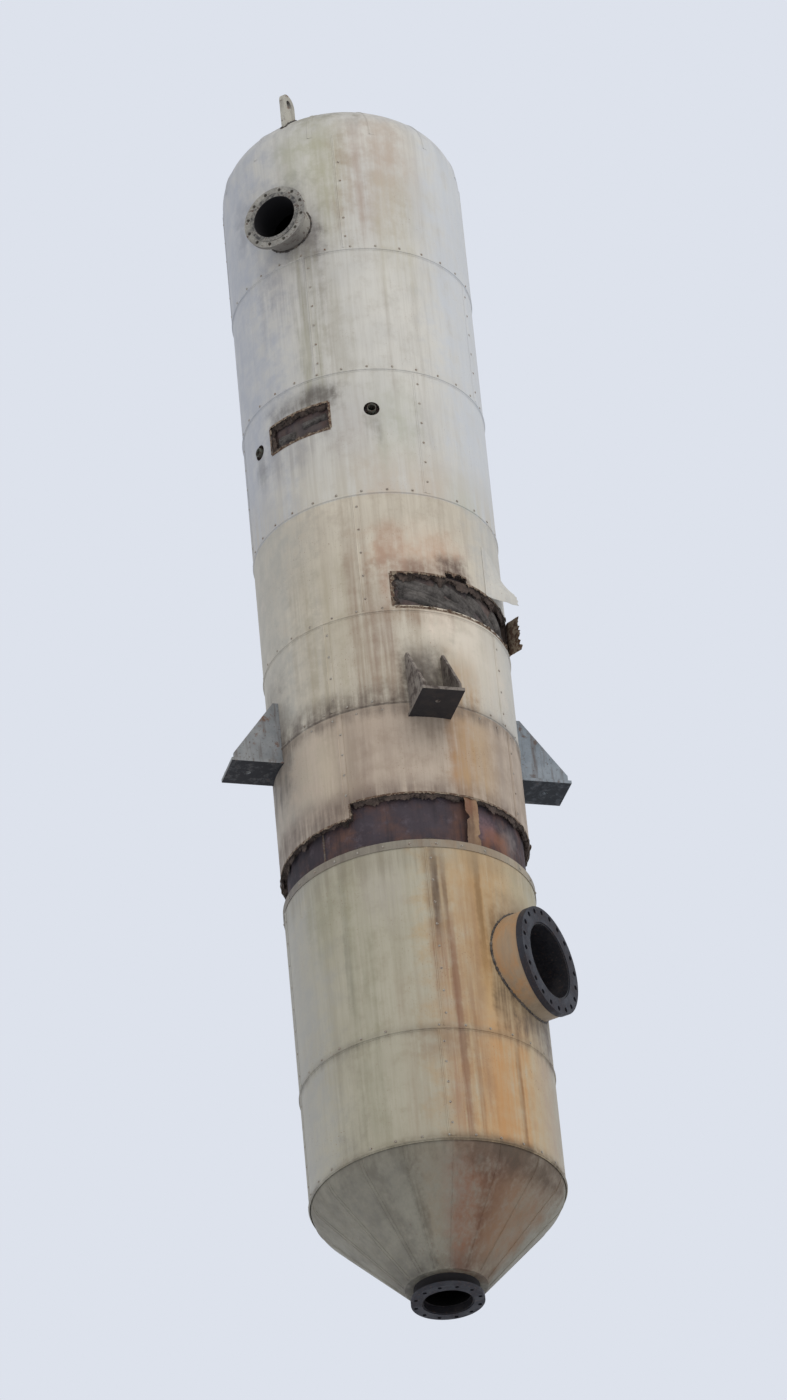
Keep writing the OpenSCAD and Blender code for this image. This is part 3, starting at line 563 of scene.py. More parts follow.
upper_paint = painted_sheet("chalked cream sheet paint", "#CBC8BE", "#BDBBB4", "#9C9486", UPPER_STAINS_AND_SHADE, 0.25)
middle_paint = painted_sheet(
    "streaked cream sheet paint", "#CBC2AF", "#BDB4A2", "#93836F", MIDDLE_STAINS_AND_SHADE, 0.4
)
short_paint = painted_sheet("browned cream sheet paint", "#BBAB98", "#AE9D8A", "#84725F", SHORT_STAINS_AND_SHADE, 0.5)
lower_paint = painted_sheet(
    "rust-washed cream sheet paint", "#B3AD98", "#A7A08B", "#8A8067", LOWER_STAINS_AND_SHADE, 0.5
)
# The cone's paint is darker than the drum's: painted shade of its downward slope
shaded_cone_paint = painted_sheet("cone sheet paint darkened as painted shade", "#948F7E", "#868171", "#625A4D", CONE_STAINS_AND_SHADE, 0.4)
rim_paint = painted_sheet("pale rim paint", "#8E8878", "#7C7265", "#564B40", RIM_STAINS, 0.5)
rust_sheet = painted_sheet("rust-eaten sheet", "#A08260", "#866A4E", "#4E3A2B", STRAP_STAINS, 1.0)
sleeve_paint = painted_sheet("stained sleeve paint", "#A09078", "#94826A", "#6B5A46", SLEEVE_STAINS, 0.6)
# The peeled sheet wears a paler copy of the middle paint: painted light, as if it caught the sky
lit_peeled_paint = painted_sheet("peeled sheet paint paled as painted light", "#D4CDBE", "#C6BEAC", "#93836F", MIDDLE_STAINS_AND_SHADE, 0.6)
shell_steel = rusted_plate("wet-rusted boiler plate", "#3B3136", "#5E4238", "#655A60", SHELL_STAINS)
head_steel = rusted_plate("rusted head plate", "#4A3E3A", "#684B3B", "#6F655E")
wool = soaked_wool("soaked mineral wool", "#2C241E", "#62534A", "#85776A")
grey_wool = soaked_wool("weathered grey wool", "#332E2B", "#6E6964", "#928D86")
# The flanges' and necks' black is old grease and painted shade: the outlet's flange and neck hang in shadow,
# and the necks' insides are dark
black_and_shaded_flange_steel = flange_steel("greasy black flange steel with painted shade", "#1E1F27", "#332B2C")
shaded_neck_steel = flange_steel("neck steel blackened as painted shade", "#17161B", "#2B2321")
nozzle_cream = nozzle_paint("chipped cream nozzle paint")
bracket_grey = bracket_paint("weathered grey bracket primer", "#8E908F", "#76797A", 0.60)
# The front right bracket and its pad are browner and darker: dirt, and painted shade of the pocket between
# its gussets
dirty_shaded_bracket_primer = bracket_paint("dirty bracket primer with painted pocket shade", "#857D73", "#685F57", 0.52, "#40352E", "#181518")
bracket_blue = bracket_paint("blue-grey bracket primer", "#8E969C", "#737C83", 0.61, "#5B4A40", "#14191F")
pad_grey = bracket_paint("weathered grey pad primer", "#8B8B84", "#77766F")
lug_paint = bracket_paint("worn lug paint", "#B5B2A6", "#98958B")
stub_steel = worn_metal("dull stub steel", "#5D6056", "#4B3D33", 0.75, 0.5, 0.2, 60.0)
screw_zinc = worn_metal("dulled zinc screws", "#A8A498", "#7A5D48", 0.6, 0.45, 0.3)
weld_steel = worn_metal("rusted weld metal", "#6A625A", "#57402F", 0.7, 0.6, 0.3, 90.0)
torn_steel = worn_metal("torn sheet edge", "#8B7D6A", "#5A4333", 0.8, 0.6, 0.1, 45.0)
mastic = old_mastic("hardened joint mastic")

# Each finish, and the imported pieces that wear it
FINISHES = (
    (shell_steel, "shell_lower", "shell_middle", "shell_upper", "bottom_cone"),
    (head_steel, "top_head"),
    (shaded_neck_steel, "outlet_neck", "manway_neck"),
    (black_and_shaded_flange_steel, "outlet_flange", "manway_flange"),
    (nozzle_cream, "vapour_neck", "vapour_flange"),
    (sleeve_paint, "manway_sleeve"),
    (stub_steel, "gauge_stub_left", "gauge_stub_right"),
    (lug_paint, "lifting_lug_front", "lifting_lug_back"),
    (wool, "wool_head", "wool_upper", "wool_middle", "wool_short", "wool_lower", "wool_cone", "manway_wool"),
    (upper_paint, "jacket_head", "jacket_upper"),
    (middle_paint, "jacket_middle"),
    (short_paint, "jacket_short"),
    (lower_paint, "jacket_lower"),
    (shaded_cone_paint, "jacket_cone"),
    (rim_paint, "jacket_rim"),
    (rust_sheet, "band_strap"),
    (torn_steel, "torn_flap"),
    (bracket_grey, "bracket_front_left", "bracket_back_left"),
    (dirty_shaded_bracket_primer, "bracket_front_right", "bracket_pad_front_right"),
    (bracket_blue, "bracket_back_right"),
    (pad_grey, "bracket_pad_front_left", "bracket_pad_back_left", "bracket_pad_back_right"),
    (pad_grey, "lifting_pad_front", "lifting_pad_back"),
)
for finish, *names in FINISHES:
    for name in names:
        nodes[name].data.materials.clear()
        nodes[name].data.materials.append(finish)


# Modelling helpers


def deselect():
    if bpy.context.object and bpy.context.object.mode != "OBJECT":
        bpy.ops.object.mode_set(mode="OBJECT")
    bpy.ops.object.select_all(action="DESELECT")


def only(*pieces):
    """Leaves these pieces selected, and the first one active."""
    deselect()
    for piece in pieces:
        piece.select_set(True)
    bpy.context.view_layer.objects.active = pieces[0]


def edit_all(piece):
    """Opens a piece in edit mode with all of it selected."""
    only(piece)
    bpy.ops.object.mode_set(mode="EDIT")
    bpy.ops.mesh.select_all(action="SELECT")


def made(operator, **settings):
    """Adds one primitive by its operator, with nothing else selected."""
    deselect()
    operator(**settings)
    return bpy.context.object


def fix_place(piece):
    """Puts a piece's place into its mesh, so that its object sits at the origin."""
    only(piece)
    bpy.ops.object.transform_apply(location=True, rotation=True, scale=True)
    return piece


def joined(pieces):
    only(*pieces)
    if len(pieces) > 1:
        bpy.ops.object.join()
    return pieces[0]


def copied(master, moves):
    """Copies of one modelled piece, each with its own mesh and its own place. The master goes."""
    copies = []
    for move in moves:
        copy = master.copy()
        copy.data = master.data.copy()
        bpy.context.scene.collection.objects.link(copy)
        copy.matrix_world = move @ master.matrix_world
        copies.append(copy)
    bpy.data.objects.remove(master)
    bpy.context.view_layer.update()
    return joined([fix_place(copy) for copy in copies])


def with_modifier(piece, kind, **settings):
    """Adds one modifier and applies it."""
    only(piece)
    modifier = piece.modifiers.new(kind.lower(), kind)
    for name, value in settings.items():
        setattr(modifier, name, value)
    bpy.ops.object.modifier_apply(modifier=modifier.name)
    return piece


def outward_faces(piece):
    """Merges doubled points and turns the faces outwards."""
    edit_all(piece)
    bpy.ops.mesh.remove_doubles(threshold=0.00005)
    bpy.ops.mesh.normals_make_consistent(inside=False)
    bpy.ops.object.mode_set(mode="OBJECT")
    return piece


def done(piece, name, finish, smooth=35):
    """Names a finished piece, gives it its finish and hangs it on the vessel."""
    fix_place(piece)
    piece.name = piece.data.name = name
    piece.data.materials.clear()
    piece.data.materials.append(finish)
    bpy.ops.object.shade_smooth_by_angle(angle=math.radians(smooth))
    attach(piece, "root")
    return piece


# Camera, light and floor


def put_in_scene(name, data, place, turn):
    """Adds a camera or a lamp at its place."""
    thing = bpy.data.objects.new(name, data)
    bpy.context.scene.collection.objects.link(thing)
    thing.rotation_mode = "QUATERNION"
    thing.location = place
    thing.rotation_quaternion = turn
    return thing


def aim_camera():
    """Looks up at the vessel from below its right front, from far off, as the photograph does."""
    angle, rise, lean = 27, math.radians(-32), math.radians(-5.6)
    centre, distance = Vector((0.03, 0, 0.62)), 45.5
    back = towards(angle) * math.cos(rise) + UP * math.sin(rise)
    data = bpy.data.cameras.new("view from the yard")
    data.sensor_width = 36
    data.lens = 181
    data.clip_start, data.clip_end = 1, 600
    turn = back.to_track_quat("Z", "Y") @ Quaternion((0, 0, 1), lean)
    bpy.context.scene.camera = put_in_scene("view from the yard", data, centre + back * distance, turn)


def light_world():
    """Even light from all round, as under a white sky, and a pale backdrop where it is looked at."""
    world = bpy.data.worlds.new("pale studio")
    bpy.context.scene.world = world
    world.use_nodes = True
    tree = world.node_tree
    tree.nodes.clear()
    path = add(tree, "ShaderNodeLightPath").outputs
    seen = path["Is Camera Ray"]
    for ray in ("Is Glossy Ray", "Is Transmission Ray"):
        seen = add(tree, "ShaderNodeMath", {0: seen, 1: path[ray]}, operation="MAXIMUM")
    light = add(tree, "ShaderNodeBackground", {"Color": "#F4F4F6", "Strength": 0.90})
    backdrop = add(tree, "ShaderNodeBackground", {"Color": "#DDE2EC", "Strength": 1.0})
    mixed = add(tree, "ShaderNodeMixShader", {0: seen, 1: light, 2: backdrop})
    add(tree, "ShaderNodeOutputWorld", {0: mixed})


def hang_lamp():
    """A large soft lamp, high on the right."""
    lamp = bpy.data.lights.new("soft lamp", "AREA")
    lamp.shape, lamp.size, lamp.energy, lamp.color = "DISK", 14, 1080, (1.0, 0.965, 0.92)
    place = on_drum(62, 13, 17)
    put_in_scene("soft lamp", lamp, place, place.to_track_quat("Z", "Y"))


def lay_floor():
    """A pale floor below the vessel. From below it can be looked through."""
    floor = made(bpy.ops.mesh.primitive_plane_add, size=160, location=(0, 0, -4.6))
    floor.name = "studio_floor"
    material, tree, here = blank("pale studio floor")
    tone, _ = patched(tree, here, "#DADEE6", "#E2E6EE", (0.6, 3.0, 0.5), (0.0, 1.0))
    paint = add(tree, "ShaderNodeBsdfDiffuse", {0: tone})
    clear = add(tree, "ShaderNodeBsdfTransparent")
    back_side = add(tree, "ShaderNodeNewGeometry").outputs["Backfacing"]
    looked_at = add(tree, "ShaderNodeLightPath").outputs["Is Camera Ray"]
    gone = add(tree, "ShaderNodeMath", {0: back_side, 1: looked_at}, operation="MULTIPLY")
    both = add(tree, "ShaderNodeMixShader", {0: gone, 1: paint, 2: clear})
    add(tree, "ShaderNodeOutputMaterial", {0: both})
    floor.data.materials.append(material)


aim_camera()
light_world()
hang_lamp()
lay_floor()
bpy.context.scene.view_settings.view_transform = "Standard"


# Sheet joints and screws

# A lap is a strip of sheet that stands proud of the row below it
LAP_R = SHEET_R + 0.0014
LAP_WIDTH = 0.052
SIDE_LAP_Y = -SHEET_R - 0.0002


def lap_ring(z):
    """The lower edge of a row of sheets: a strip one sheet thick, with a rolled bead above its edge."""
    strip = made(
        bpy.ops.mesh.primitive_cylinder_add, vertices=240, radius=LAP_R, depth=LAP_WIDTH,
        end_fill_type="NOTHING", location=(0, 0, z + LAP_WIDTH / 2),
    )
    with_modifier(strip, "SOLIDIFY", thickness=0.0022, offset=-1)
    roll = made(
        bpy.ops.mesh.primitive_torus_add, major_radius=SHEET_R + 0.001, minor_radius=0.0065,
        major_segments=240, minor_segments=8, location=(0, 0, z + 0.015),
    )
    return joined([strip, roll])


def upright_lap(angle, low, high):
    """The side edge of a sheet, lying on its neighbour, with its bead."""
    middle = (low + high) / 2
    strip = made(bpy.ops.mesh.primitive_cube_add, size=1, location=(0, SIDE_LAP_Y, middle))
    strip.scale = (LAP_WIDTH, 0.0032, high - low)
    with_modifier(strip, "BEVEL", width=0.0005, segments=1)
    roll = made(
        bpy.ops.mesh.primitive_cylinder_add, vertices=10, radius=0.0055, depth=high - low - 0.004,
        location=(-0.012, SIDE_LAP_Y, middle),
    )
    piece = fix_place(joined([strip, roll]))
    piece.matrix_world = turned(angle)
    return fix_place(piece)


def model_screw():
    """A pan-headed sheet screw on its washer, seen from -Y."""
    forwards = (math.pi / 2, 0, 0)
    washer = made(
        bpy.ops.mesh.primitive_cylinder_add, vertices=12, radius=0.0085, depth=0.0016,
        location=(0, -0.0008, 0), rotation=forwards,
    )
    head = made(
        bpy.ops.mesh.primitive_uv_sphere_add, segments=10, ring_count=6, radius=0.0062,
        location=(0, -0.0016, 0), rotation=forwards,
    )
    head.scale = (1, 1, 0.6)
    return fix_place(joined([washer, head]))


for part, finish, slot in (
    ("upper", upper_paint, "upper_sheet"),
    ("middle", middle_paint, "middle_sheet"),
    ("lower", lower_paint, "lower_sheet"),
):
    rows = [row for row in SHEET_ROWS if row[0] == part]
    rings = [lap_ring(low) for _, low, _, _ in rows[:-1]]
    done(joined(rings), part + "_sheet_laps", finish)
    uprights = [upright_lap(angle, low + 0.03, high) for _, low, high, angles in rows for angle in angles]
    done(joined(uprights), part + "_sheet_side_laps", finish)
short_laps = [upright_lap(angle, low, BRACKET_JOINT_Z - 0.002) for angle, low in SHORT_LAPS]
done(joined(short_laps), "short_sheet_side_laps", short_paint)

# The screws around one ring, the share that is lost, their pitch up a lap and how far they sit beside it
RING_SCREWS, LOST_SCREWS, SCREW_PITCH, ASIDE_OF_LAP = 30, 0.06, 0.15, 0.6
RIM_SCREW_Z, RIM_SCREW_R, SHORT_SCREW_Z = -0.940, 0.8057, -0.500
# Where no screw sits: the middle angle and half width of an opening, its lower and its upper end
KEPT_CLEAR = [
    (-5, 20.5, UPPER_HOLE_LOW - 0.025, UPPER_HOLE_TOP + 0.025),
    (74, 44.5, LOWER_HOLE_LOW - 0.028, NOTCH_TOP + 0.022),
    (0, 15, NOZZLE_Z - 0.19, NOZZLE_Z + 0.19),
    (MANWAY_ANGLE, 29, MANWAY_Z - 0.39, MANWAY_Z + 0.39),
]
KEPT_CLEAR += [(angle, 5, STUB_Z - 0.07, STUB_Z + 0.07) for angle in STUB_ANGLES]
KEPT_CLEAR += [(angle, 17.5, -0.06, 0.56) for angle in BRACKET_ANGLES]


def clear_of_openings(angle, z):
    for middle, half_width, low, high in KEPT_CLEAR:
        if abs((angle - middle + 180) % 360 - 180) < half_width and low < z < high:
            return False
    return True


def place_screws():
    """Screws around each row's lower edge, the rim and the joint over the brackets, and up each lap."""
    rings = [(low + 0.036, LAP_R) for _, low, _, _ in SHEET_ROWS]
    rings += [(RIM_SCREW_Z, RIM_SCREW_R), (BRACKET_JOINT_Z - 0.03, SHEET_R)]
    places = []
    for z, radius in rings:
        offset = chance.uniform(0, 360 / RING_SCREWS)
        for i in range(RING_SCREWS):
            angle = offset + i * 360 / RING_SCREWS
            if clear_of_openings(angle, z) and chance.random() > LOST_SCREWS:
                places.append((angle, z, radius))
    for _, low, high, angles in SHEET_ROWS:
        steps = int((high - low - 0.16) / SCREW_PITCH)
        first, room = low + 0.12, high - low - 0.20
        for angle in angles:
            for i in range(steps + 1):
                z = first + i * room / steps
                if clear_of_openings(angle, z) and chance.random() > LOST_SCREWS:
                    places.append((angle + ASIDE_OF_LAP, z, LAP_R))
    for angle, _ in SHORT_LAPS:
        places += [(angle + ASIDE_OF_LAP, SHORT_SCREW_Z + i * SCREW_PITCH, LAP_R) for i in range(4)]
    return [Matrix.Translation(on_drum(angle, z, radius)) @ turned(angle) for angle, z, radius in places]


done(copied(model_screw(), place_screws()), "sheet_screws", screw_zinc, 50)


# Seams of the head and the cone

# The head's gores end under a ring, and the cone's seams end this far below its start
CAP_R = 0.210
CONE_SEAM_DROP = 0.640


def head_height(radius):
    """The height of the head's sheet at a distance from the centre line."""
    if radius < CROWN_R * math.sin(math.radians(CROWN_TURN)):
        return HEAD_Z - CROWN_DROP + math.sqrt(CROWN_R**2 - radius**2)
    return HEAD_Z + math.sqrt(HEAD_KNUCKLE_R**2 - (radius - HEAD_KNUCKLE_X) ** 2)


def seam_sections(x, z, lean, strip_size, bead_radius, aside):
    """The cross-section of a seam's strip, and that of the bead beside it."""
    strip = made(bpy.ops.mesh.primitive_plane_add, size=1, location=(x, 0, z), rotation=(0, lean, 0))
    strip.scale = (*strip_size, 1)
    roll = made(
        bpy.ops.mesh.primitive_circle_add, vertices=8, radius=bead_radius, fill_type="NGON",
        location=(x, -aside, z), rotation=(0, lean, 0),
    )
    return fix_place(strip), fix_place(roll)


def model_gore_seam():
    """One seam of the head's sheet, swept up the knuckle and over the crown towards +X."""
    knuckle_turn = math.radians(90 - CROWN_TURN)
    crown_turn = math.radians(CROWN_TURN) - math.asin(CAP_R / CROWN_R)
    parts = []
    for part in seam_sections(SHEET_R, HEAD_Z + 0.002, 0, (0.0030, 0.036), 0.0045, 0.010):
        edit_all(part)
        bpy.ops.mesh.spin(steps=14, angle=knuckle_turn, center=(HEAD_KNUCKLE_X, 0, HEAD_Z), axis=(0, 1, 0))
        bpy.ops.mesh.spin(steps=8, angle=crown_turn, center=(0, 0, HEAD_Z - CROWN_DROP), axis=(0, 1, 0))
        parts.append(outward_faces(part))
    return joined(parts)


def model_cone_seam():
    """One seam of the cone's sheet, from below the lowest sheet's lap to the outlet, towards +X."""
    start, fall = math.radians(15), math.radians(CONE_ANGLE)
    x = CONE_KNUCKLE_X + CONE_KNUCKLE_R * math.cos(start)
    z = CONE_Z - CONE_KNUCKLE_R * math.sin(start)
    length = (CONE_SEAM_DROP - CONE_KNUCKLE_R * math.sin(fall)) / math.cos(fall)
    down = {"value": (-math.sin(fall) * length, 0, -math.cos(fall) * length)}
    parts = []
    for part in seam_sections(x, z, start, (0.0028, 0.032), 0.004, 0.008):
        edit_all(part)
        bpy.ops.mesh.spin(steps=6, angle=fall - start, center=(CONE_KNUCKLE_X, 0, CONE_Z), axis=(0, -1, 0))
        bpy.ops.mesh.extrude_region_move(TRANSFORM_OT_translate=down)
        parts.append(outward_faces(part))
    return joined(parts)


gores = copied(model_gore_seam(), [turned(15 + 30 * i) for i in range(12)])
cap_ring = made(
    bpy.ops.mesh.primitive_torus_add, major_radius=CAP_R, minor_radius=0.006,
    major_segments=72, minor_segments=8, location=(0, 0, head_height(CAP_R)),
)
done(joined([gores, cap_ring]), "head_sheet_seams", upper_paint)
cone_seams = copied(model_cone_seam(), [turned(-8 + 22.5 * i) for i in range(16)])
done(cone_seams, "cone_sheet_seams", shaded_cone_paint)


# Shapes swept through rows of points


def through_points(columns, around=False, capped=False):
    """A surface through columns of points. With around, the last column joins the first.

    Capped closes both ends of a tube, whose columns end on the point where they start.
    """
    form = bmesh.new()
    corners = [[form.verts.new(point) for point in column] for column in columns]
    pairs = list(zip(corners, corners[1:]))
    if around:
        pairs.append((corners[-1], corners[0]))
    for left, right in pairs:
        for i in range(len(left) - 1):
            form.faces.new((left[i], right[i], right[i + 1], left[i + 1]))
    if capped:
        for column in (corners[0], corners[-1]):
            form.faces.new(column[:-1])
    mesh = bpy.data.meshes.new("form")
    form.to_mesh(mesh)
    form.free()
    piece = bpy.data.objects.new("form", mesh)
    bpy.context.scene.collection.objects.link(piece)
    return piece


def sheet_through(columns, thickness, offset=0):
    """A closed sheet through columns of points."""
    sheet = with_modifier(through_points(columns), "SOLIDIFY", thickness=thickness, offset=offset)
    return outward_faces(sheet)


def bead(path, radius, axis, closed=False, uneven=0.18, flat=1.0):
    """A lumpy round bead laid along a path, such as a weld or a line of mastic."""
    sides = 7
    columns = []
    last = len(path) - 1
    for i, here in enumerate(path):
        before = path[i - 1] if closed or i > 0 else here
        after = path[(i + 1) % len(path)] if closed or i < last else here
        level = (after - before).cross(axis).normalized()
        rise = level.cross((after - before).normalized())
        # Lumps about 17 mm and 5 mm long
        size = radius * (1 + uneven * (noise.noise(here * 60) + noise.noise(here * 190)))
        if not closed and i in (0, last):
            size = 0.00001
        ring = []
        for k in range(sides + 1):
            turn = 2 * math.pi * k / sides
            ring.append(here + level * (math.cos(turn) * size) + rise * (math.sin(turn) * size * flat))
        columns.append(ring)
    return outward_faces(through_points(columns, closed))


def circle_path(centre, axis, radius, step=0.0035):
    """Points on a circle about an axis."""
    first = axis.orthogonal().normalized()
    second = axis.cross(first)
    count = round(2 * math.pi * radius / step)
    turns = [2 * math.pi * i / count for i in range(count)]
    return [centre + first * (math.cos(turn) * radius) + second * (math.sin(turn) * radius) for turn in turns]


def straight_path(start, end, step=0.0035):
    count = max(3, round((end - start).length / step))
    return [start.lerp(end, i / count) for i in range(count + 1)]


def saddle_path(angle, z, radius, drum, step=0.004):
    """The line on a drum of the vessel that a level pipe of some radius cuts, at an angle and height."""
    count = round(2 * math.pi * radius / step)
    out, side = towards(angle), towards(angle + 90)
    path = []
    for i in range(count):
        turn = 2 * math.pi * i / count
        across = radius * math.cos(turn)
        rise = UP * (z + radius * math.sin(turn))
        path.append(out * math.sqrt(drum**2 - across**2) + side * across + rise)
    return path


def lug_collar(angle):
    """The line that a lifting lug cuts in the head's sheet."""
    middle, half_width, half_thickness, steps = 0.655, 0.0765, 0.0165, 40
    corners = [(-1, -1), (1, -1), (1, 1), (-1, 1)]
    path = []
    for (out_a, side_a), (out_b, side_b) in zip(corners, corners[1:] + corners[:1]):
        count = steps if out_a != out_b else steps // 4
        for i in range(count):
            share = i / count
            radius = middle + half_width * (out_a + (out_b - out_a) * share)
            across = half_thickness * (side_a + (side_b - side_a) * share)
            level = towards(angle) * radius + towards(angle + 90) * across
            path.append(level + UP * (head_height(radius) + 0.002))
    return path


# Welds and mastic


def ring_weld(centre, axis, radius, size):
    return bead(circle_path(centre, axis, radius), size, axis, closed=True)


def bracket_welds(angle):
    """Fillets on both sides of both gussets: up the pad, and out along the foot."""
    pad_r, tip_r, gusset_x, half_gusset = 0.7725, 1.105, 0.118, 0.0085
    foot_z, low, high = 0.0235, 0.028, 0.455
    fillets = []
    for side in (-1, 1):
        for face in (-1, 1):
            across = side * gusset_x + face * half_gusset
            aside = towards(angle + 90) * across
            root = towards(angle) * (math.sqrt(pad_r**2 - across**2) + 0.001) + aside
            tip = towards(angle) * tip_r + aside
            fillets.append(bead(straight_path(root + UP * low, root + UP * high), 0.0055, towards(angle)))
            fillets.append(bead(straight_path(root + UP * foot_z, tip + UP * foot_z), 0.0050, UP))
    return fillets


# Each neck's weld to its flange: how far out or at what height it lies, and its radius
NOZZLE_WELD_REACH, OUTLET_WELD_Z, PIPE_WELD_R = 0.909, -3.7165, 0.163
MANWAY_WELD_REACH, MANWAY_WELD_R = 0.900, 0.2555
SLEEVE_R, STUB_WELD_R = 0.354, 0.031
SHELL_SEAM_ANGLE = -14

seam_ends = [on_drum(SHELL_SEAM_ANGLE, z, SHELL_R + 0.0005) for z in (BAND_LOW_Z, BAND_TOP_Z)]
welds = [
    ring_weld(on_drum(0, NOZZLE_Z, NOZZLE_WELD_REACH), towards(0), PIPE_WELD_R, 0.0050),
    ring_weld(UP * OUTLET_WELD_Z, UP, PIPE_WELD_R, 0.0060),
    ring_weld(
        on_drum(MANWAY_ANGLE, MANWAY_Z, MANWAY_WELD_REACH), towards(MANWAY_ANGLE), MANWAY_WELD_R, 0.0065
    ),
    bead(straight_path(*seam_ends), 0.0070, towards(SHELL_SEAM_ANGLE), flat=0.5),
]
for angle in BRACKET_ANGLES:
    welds += bracket_welds(angle)
for angle in STUB_ANGLES:
    stub_line = saddle_path(angle, STUB_Z, STUB_WELD_R, SHELL_R + 0.001, 0.003)
    welds.append(bead(stub_line, 0.0042, towards(angle), closed=True))
done(joined(welds), "weld_beads", weld_steel, 60)

nozzle_line = saddle_path(0, NOZZLE_Z, PIPE_WELD_R + 0.002, SHEET_R + 0.002)
sleeve_line = saddle_path(MANWAY_ANGLE, MANWAY_Z, SLEEVE_R, SHEET_R + 0.002, 0.006)
collars = [
    bead(nozzle_line, 0.0085, towards(0), closed=True, uneven=0.5, flat=0.7),
    bead(sleeve_line, 0.0080, towards(MANWAY_ANGLE), closed=True, uneven=0.6),
]
for angle in (0, 180):
    collars.append(bead(lug_collar(angle), 0.0085, UP, closed=True, uneven=0.5, flat=0.8))
done(joined(collars), "mastic_beads", mastic, 60)


# Torn sheet and hanging wool

# The ways into a hole from its edge, as a share around the vessel and a share upwards
DOWNWARDS, UPWARDS, RIGHTWARDS, LEFTWARDS = (0, -1), (0, 1), (1, 0), (-1, 0)
WOOL_INNER_R, WOOL_OUTER_R, BAND_WOOL_R = 0.7608, 0.7960, 0.7965


def along_edge(start, end, radius, step):
    """The points of a hole's edge: how far along it each lies, its angle and its height."""
    run = math.hypot(math.radians(end[0] - start[0]) * radius, end[1] - start[1])
    count = max(4, round(run / step))
    shares = [i / count for i in range(count + 1)]
    return [(s * run, start[0] + (end[0] - start[0]) * s, start[1] + (end[1] - start[1]) * s) for s in shares]


def into_hole(angle, z, way, step, edge_r, radius):
    """The point some way from an edge into its hole, at a radius of its own."""
    return on_drum(angle + math.degrees(step * way[0] / edge_r), z + step * way[1], radius)


def torn_edge(start, end, way, length, curl, key):
    """Sheet left ragged along the edge of a hole, from one angle and height to another."""
    columns = []
    for along, angle, z in along_edge(start, end, SHEET_R, 0.005):
        # Jags about 40 mm and 9 mm wide
        jag = waver(along * 26, key, 0) + 0.7 * waver(along * 110, key, 3)
        tear = length * max(0.12, 0.45 + 1.1 * jag)
        bend = curl + 0.014 * waver(along * 15, key, 7)
        column = []
        for step, lift in ((-0.009, 0.0), (0.0, 0.0), (0.5 * tear, 0.35 * bend), (tear, bend)):
            column.append(into_hole(angle, z, way, step, SHEET_R, LAP_R + lift))
        columns.append(column)
    return sheet_through(columns, 0.0016)


# Each edge: where it starts and ends, the way into the hole, how far it is torn and how far it curls
TORN_EDGES = (
    # The lower hole: its top with the notch, its left end and its bottom
    ((33, LOWER_HOLE_TOP), (60, LOWER_HOLE_TOP), DOWNWARDS, 0.020, 0.004),
    ((60, NOTCH_TOP), (72, NOTCH_TOP), DOWNWARDS, 0.034, 0.010),
    ((72, LOWER_HOLE_TOP), (111, LOWER_HOLE_TOP), DOWNWARDS, 0.022, 0.006),
    ((33, 0.832), (33, 1.089), RIGHTWARDS, 0.022, 0.004),
    ((34, LOWER_HOLE_LOW), (112, LOWER_HOLE_LOW), UPWARDS, 0.012, 0.004),
    # The upper hole
    ((-22, UPPER_HOLE_TOP), (12, UPPER_HOLE_TOP), DOWNWARDS, 0.016, 0.003),
    ((-22, UPPER_HOLE_LOW), (12, UPPER_HOLE_LOW), UPWARDS, 0.010, 0.003),
    ((-22, 2.270), (-22, 2.470), RIGHTWARDS, 0.014, 0.004),
    ((12, 2.270), (12, 2.470), LEFTWARDS, 0.012, 0.004),
    # The lower edge of the sheet above the band
    ((5, BAND_TOP_Z), (170, BAND_TOP_Z), DOWNWARDS, 0.012, 0.002),
    ((170, BAND_TOP_Z), (273, BAND_TOP_Z), DOWNWARDS, 0.010, 0.002),
    ((-86, SLIPPED_Z), (3.5, SLIPPED_Z), DOWNWARDS, 0.014, 0.004),
    ((4, SLIPPED_Z + 0.005), (4, BAND_TOP_Z - 0.004), RIGHTWARDS, 0.012, 0.004),
)
edges = [torn_edge(*edge, key) for key, edge in enumerate(TORN_EDGES, 1)]
done(joined(edges), "torn_sheet_edges", torn_steel, 50)


def wool_fringe(start, end, way, outer, length, key):
    """Matted wool that hangs out of the gap behind a sheet's edge."""
    # The profile, from the shell out to the sheet and back: its depth in the gap, and how far it hangs
    profile = ((0.0, -0.01), (0.1, 0.6), (0.35, 1.0), (0.7, 0.9), (0.95, 0.5), (1.0, -0.01), (0.0, -0.01))
    points = along_edge(start, end, outer, 0.006)
    columns = []
    for i, (along, angle, z) in enumerate(points):
        size = 0.02 if i in (0, len(points) - 1) else 1.0
        column = []
        for depth, reach in profile:
            # Tufts about 80 mm and 12 mm wide
            hang = 0.4 + 1.5 * max(0.0, waver(along * 13, key, depth * 2) + 0.25)
            hang += 0.6 * waver(along * 80, key, depth * 9)
            step = length * max(0.1, hang) * reach * size if reach > 0 else reach * length
            radius = WOOL_INNER_R + (outer - WOOL_INNER_R) * depth
            column.append(into_hole(angle, z, way, step, outer, radius))
        columns.append(column)
    return outward_faces(through_points(columns, capped=True))


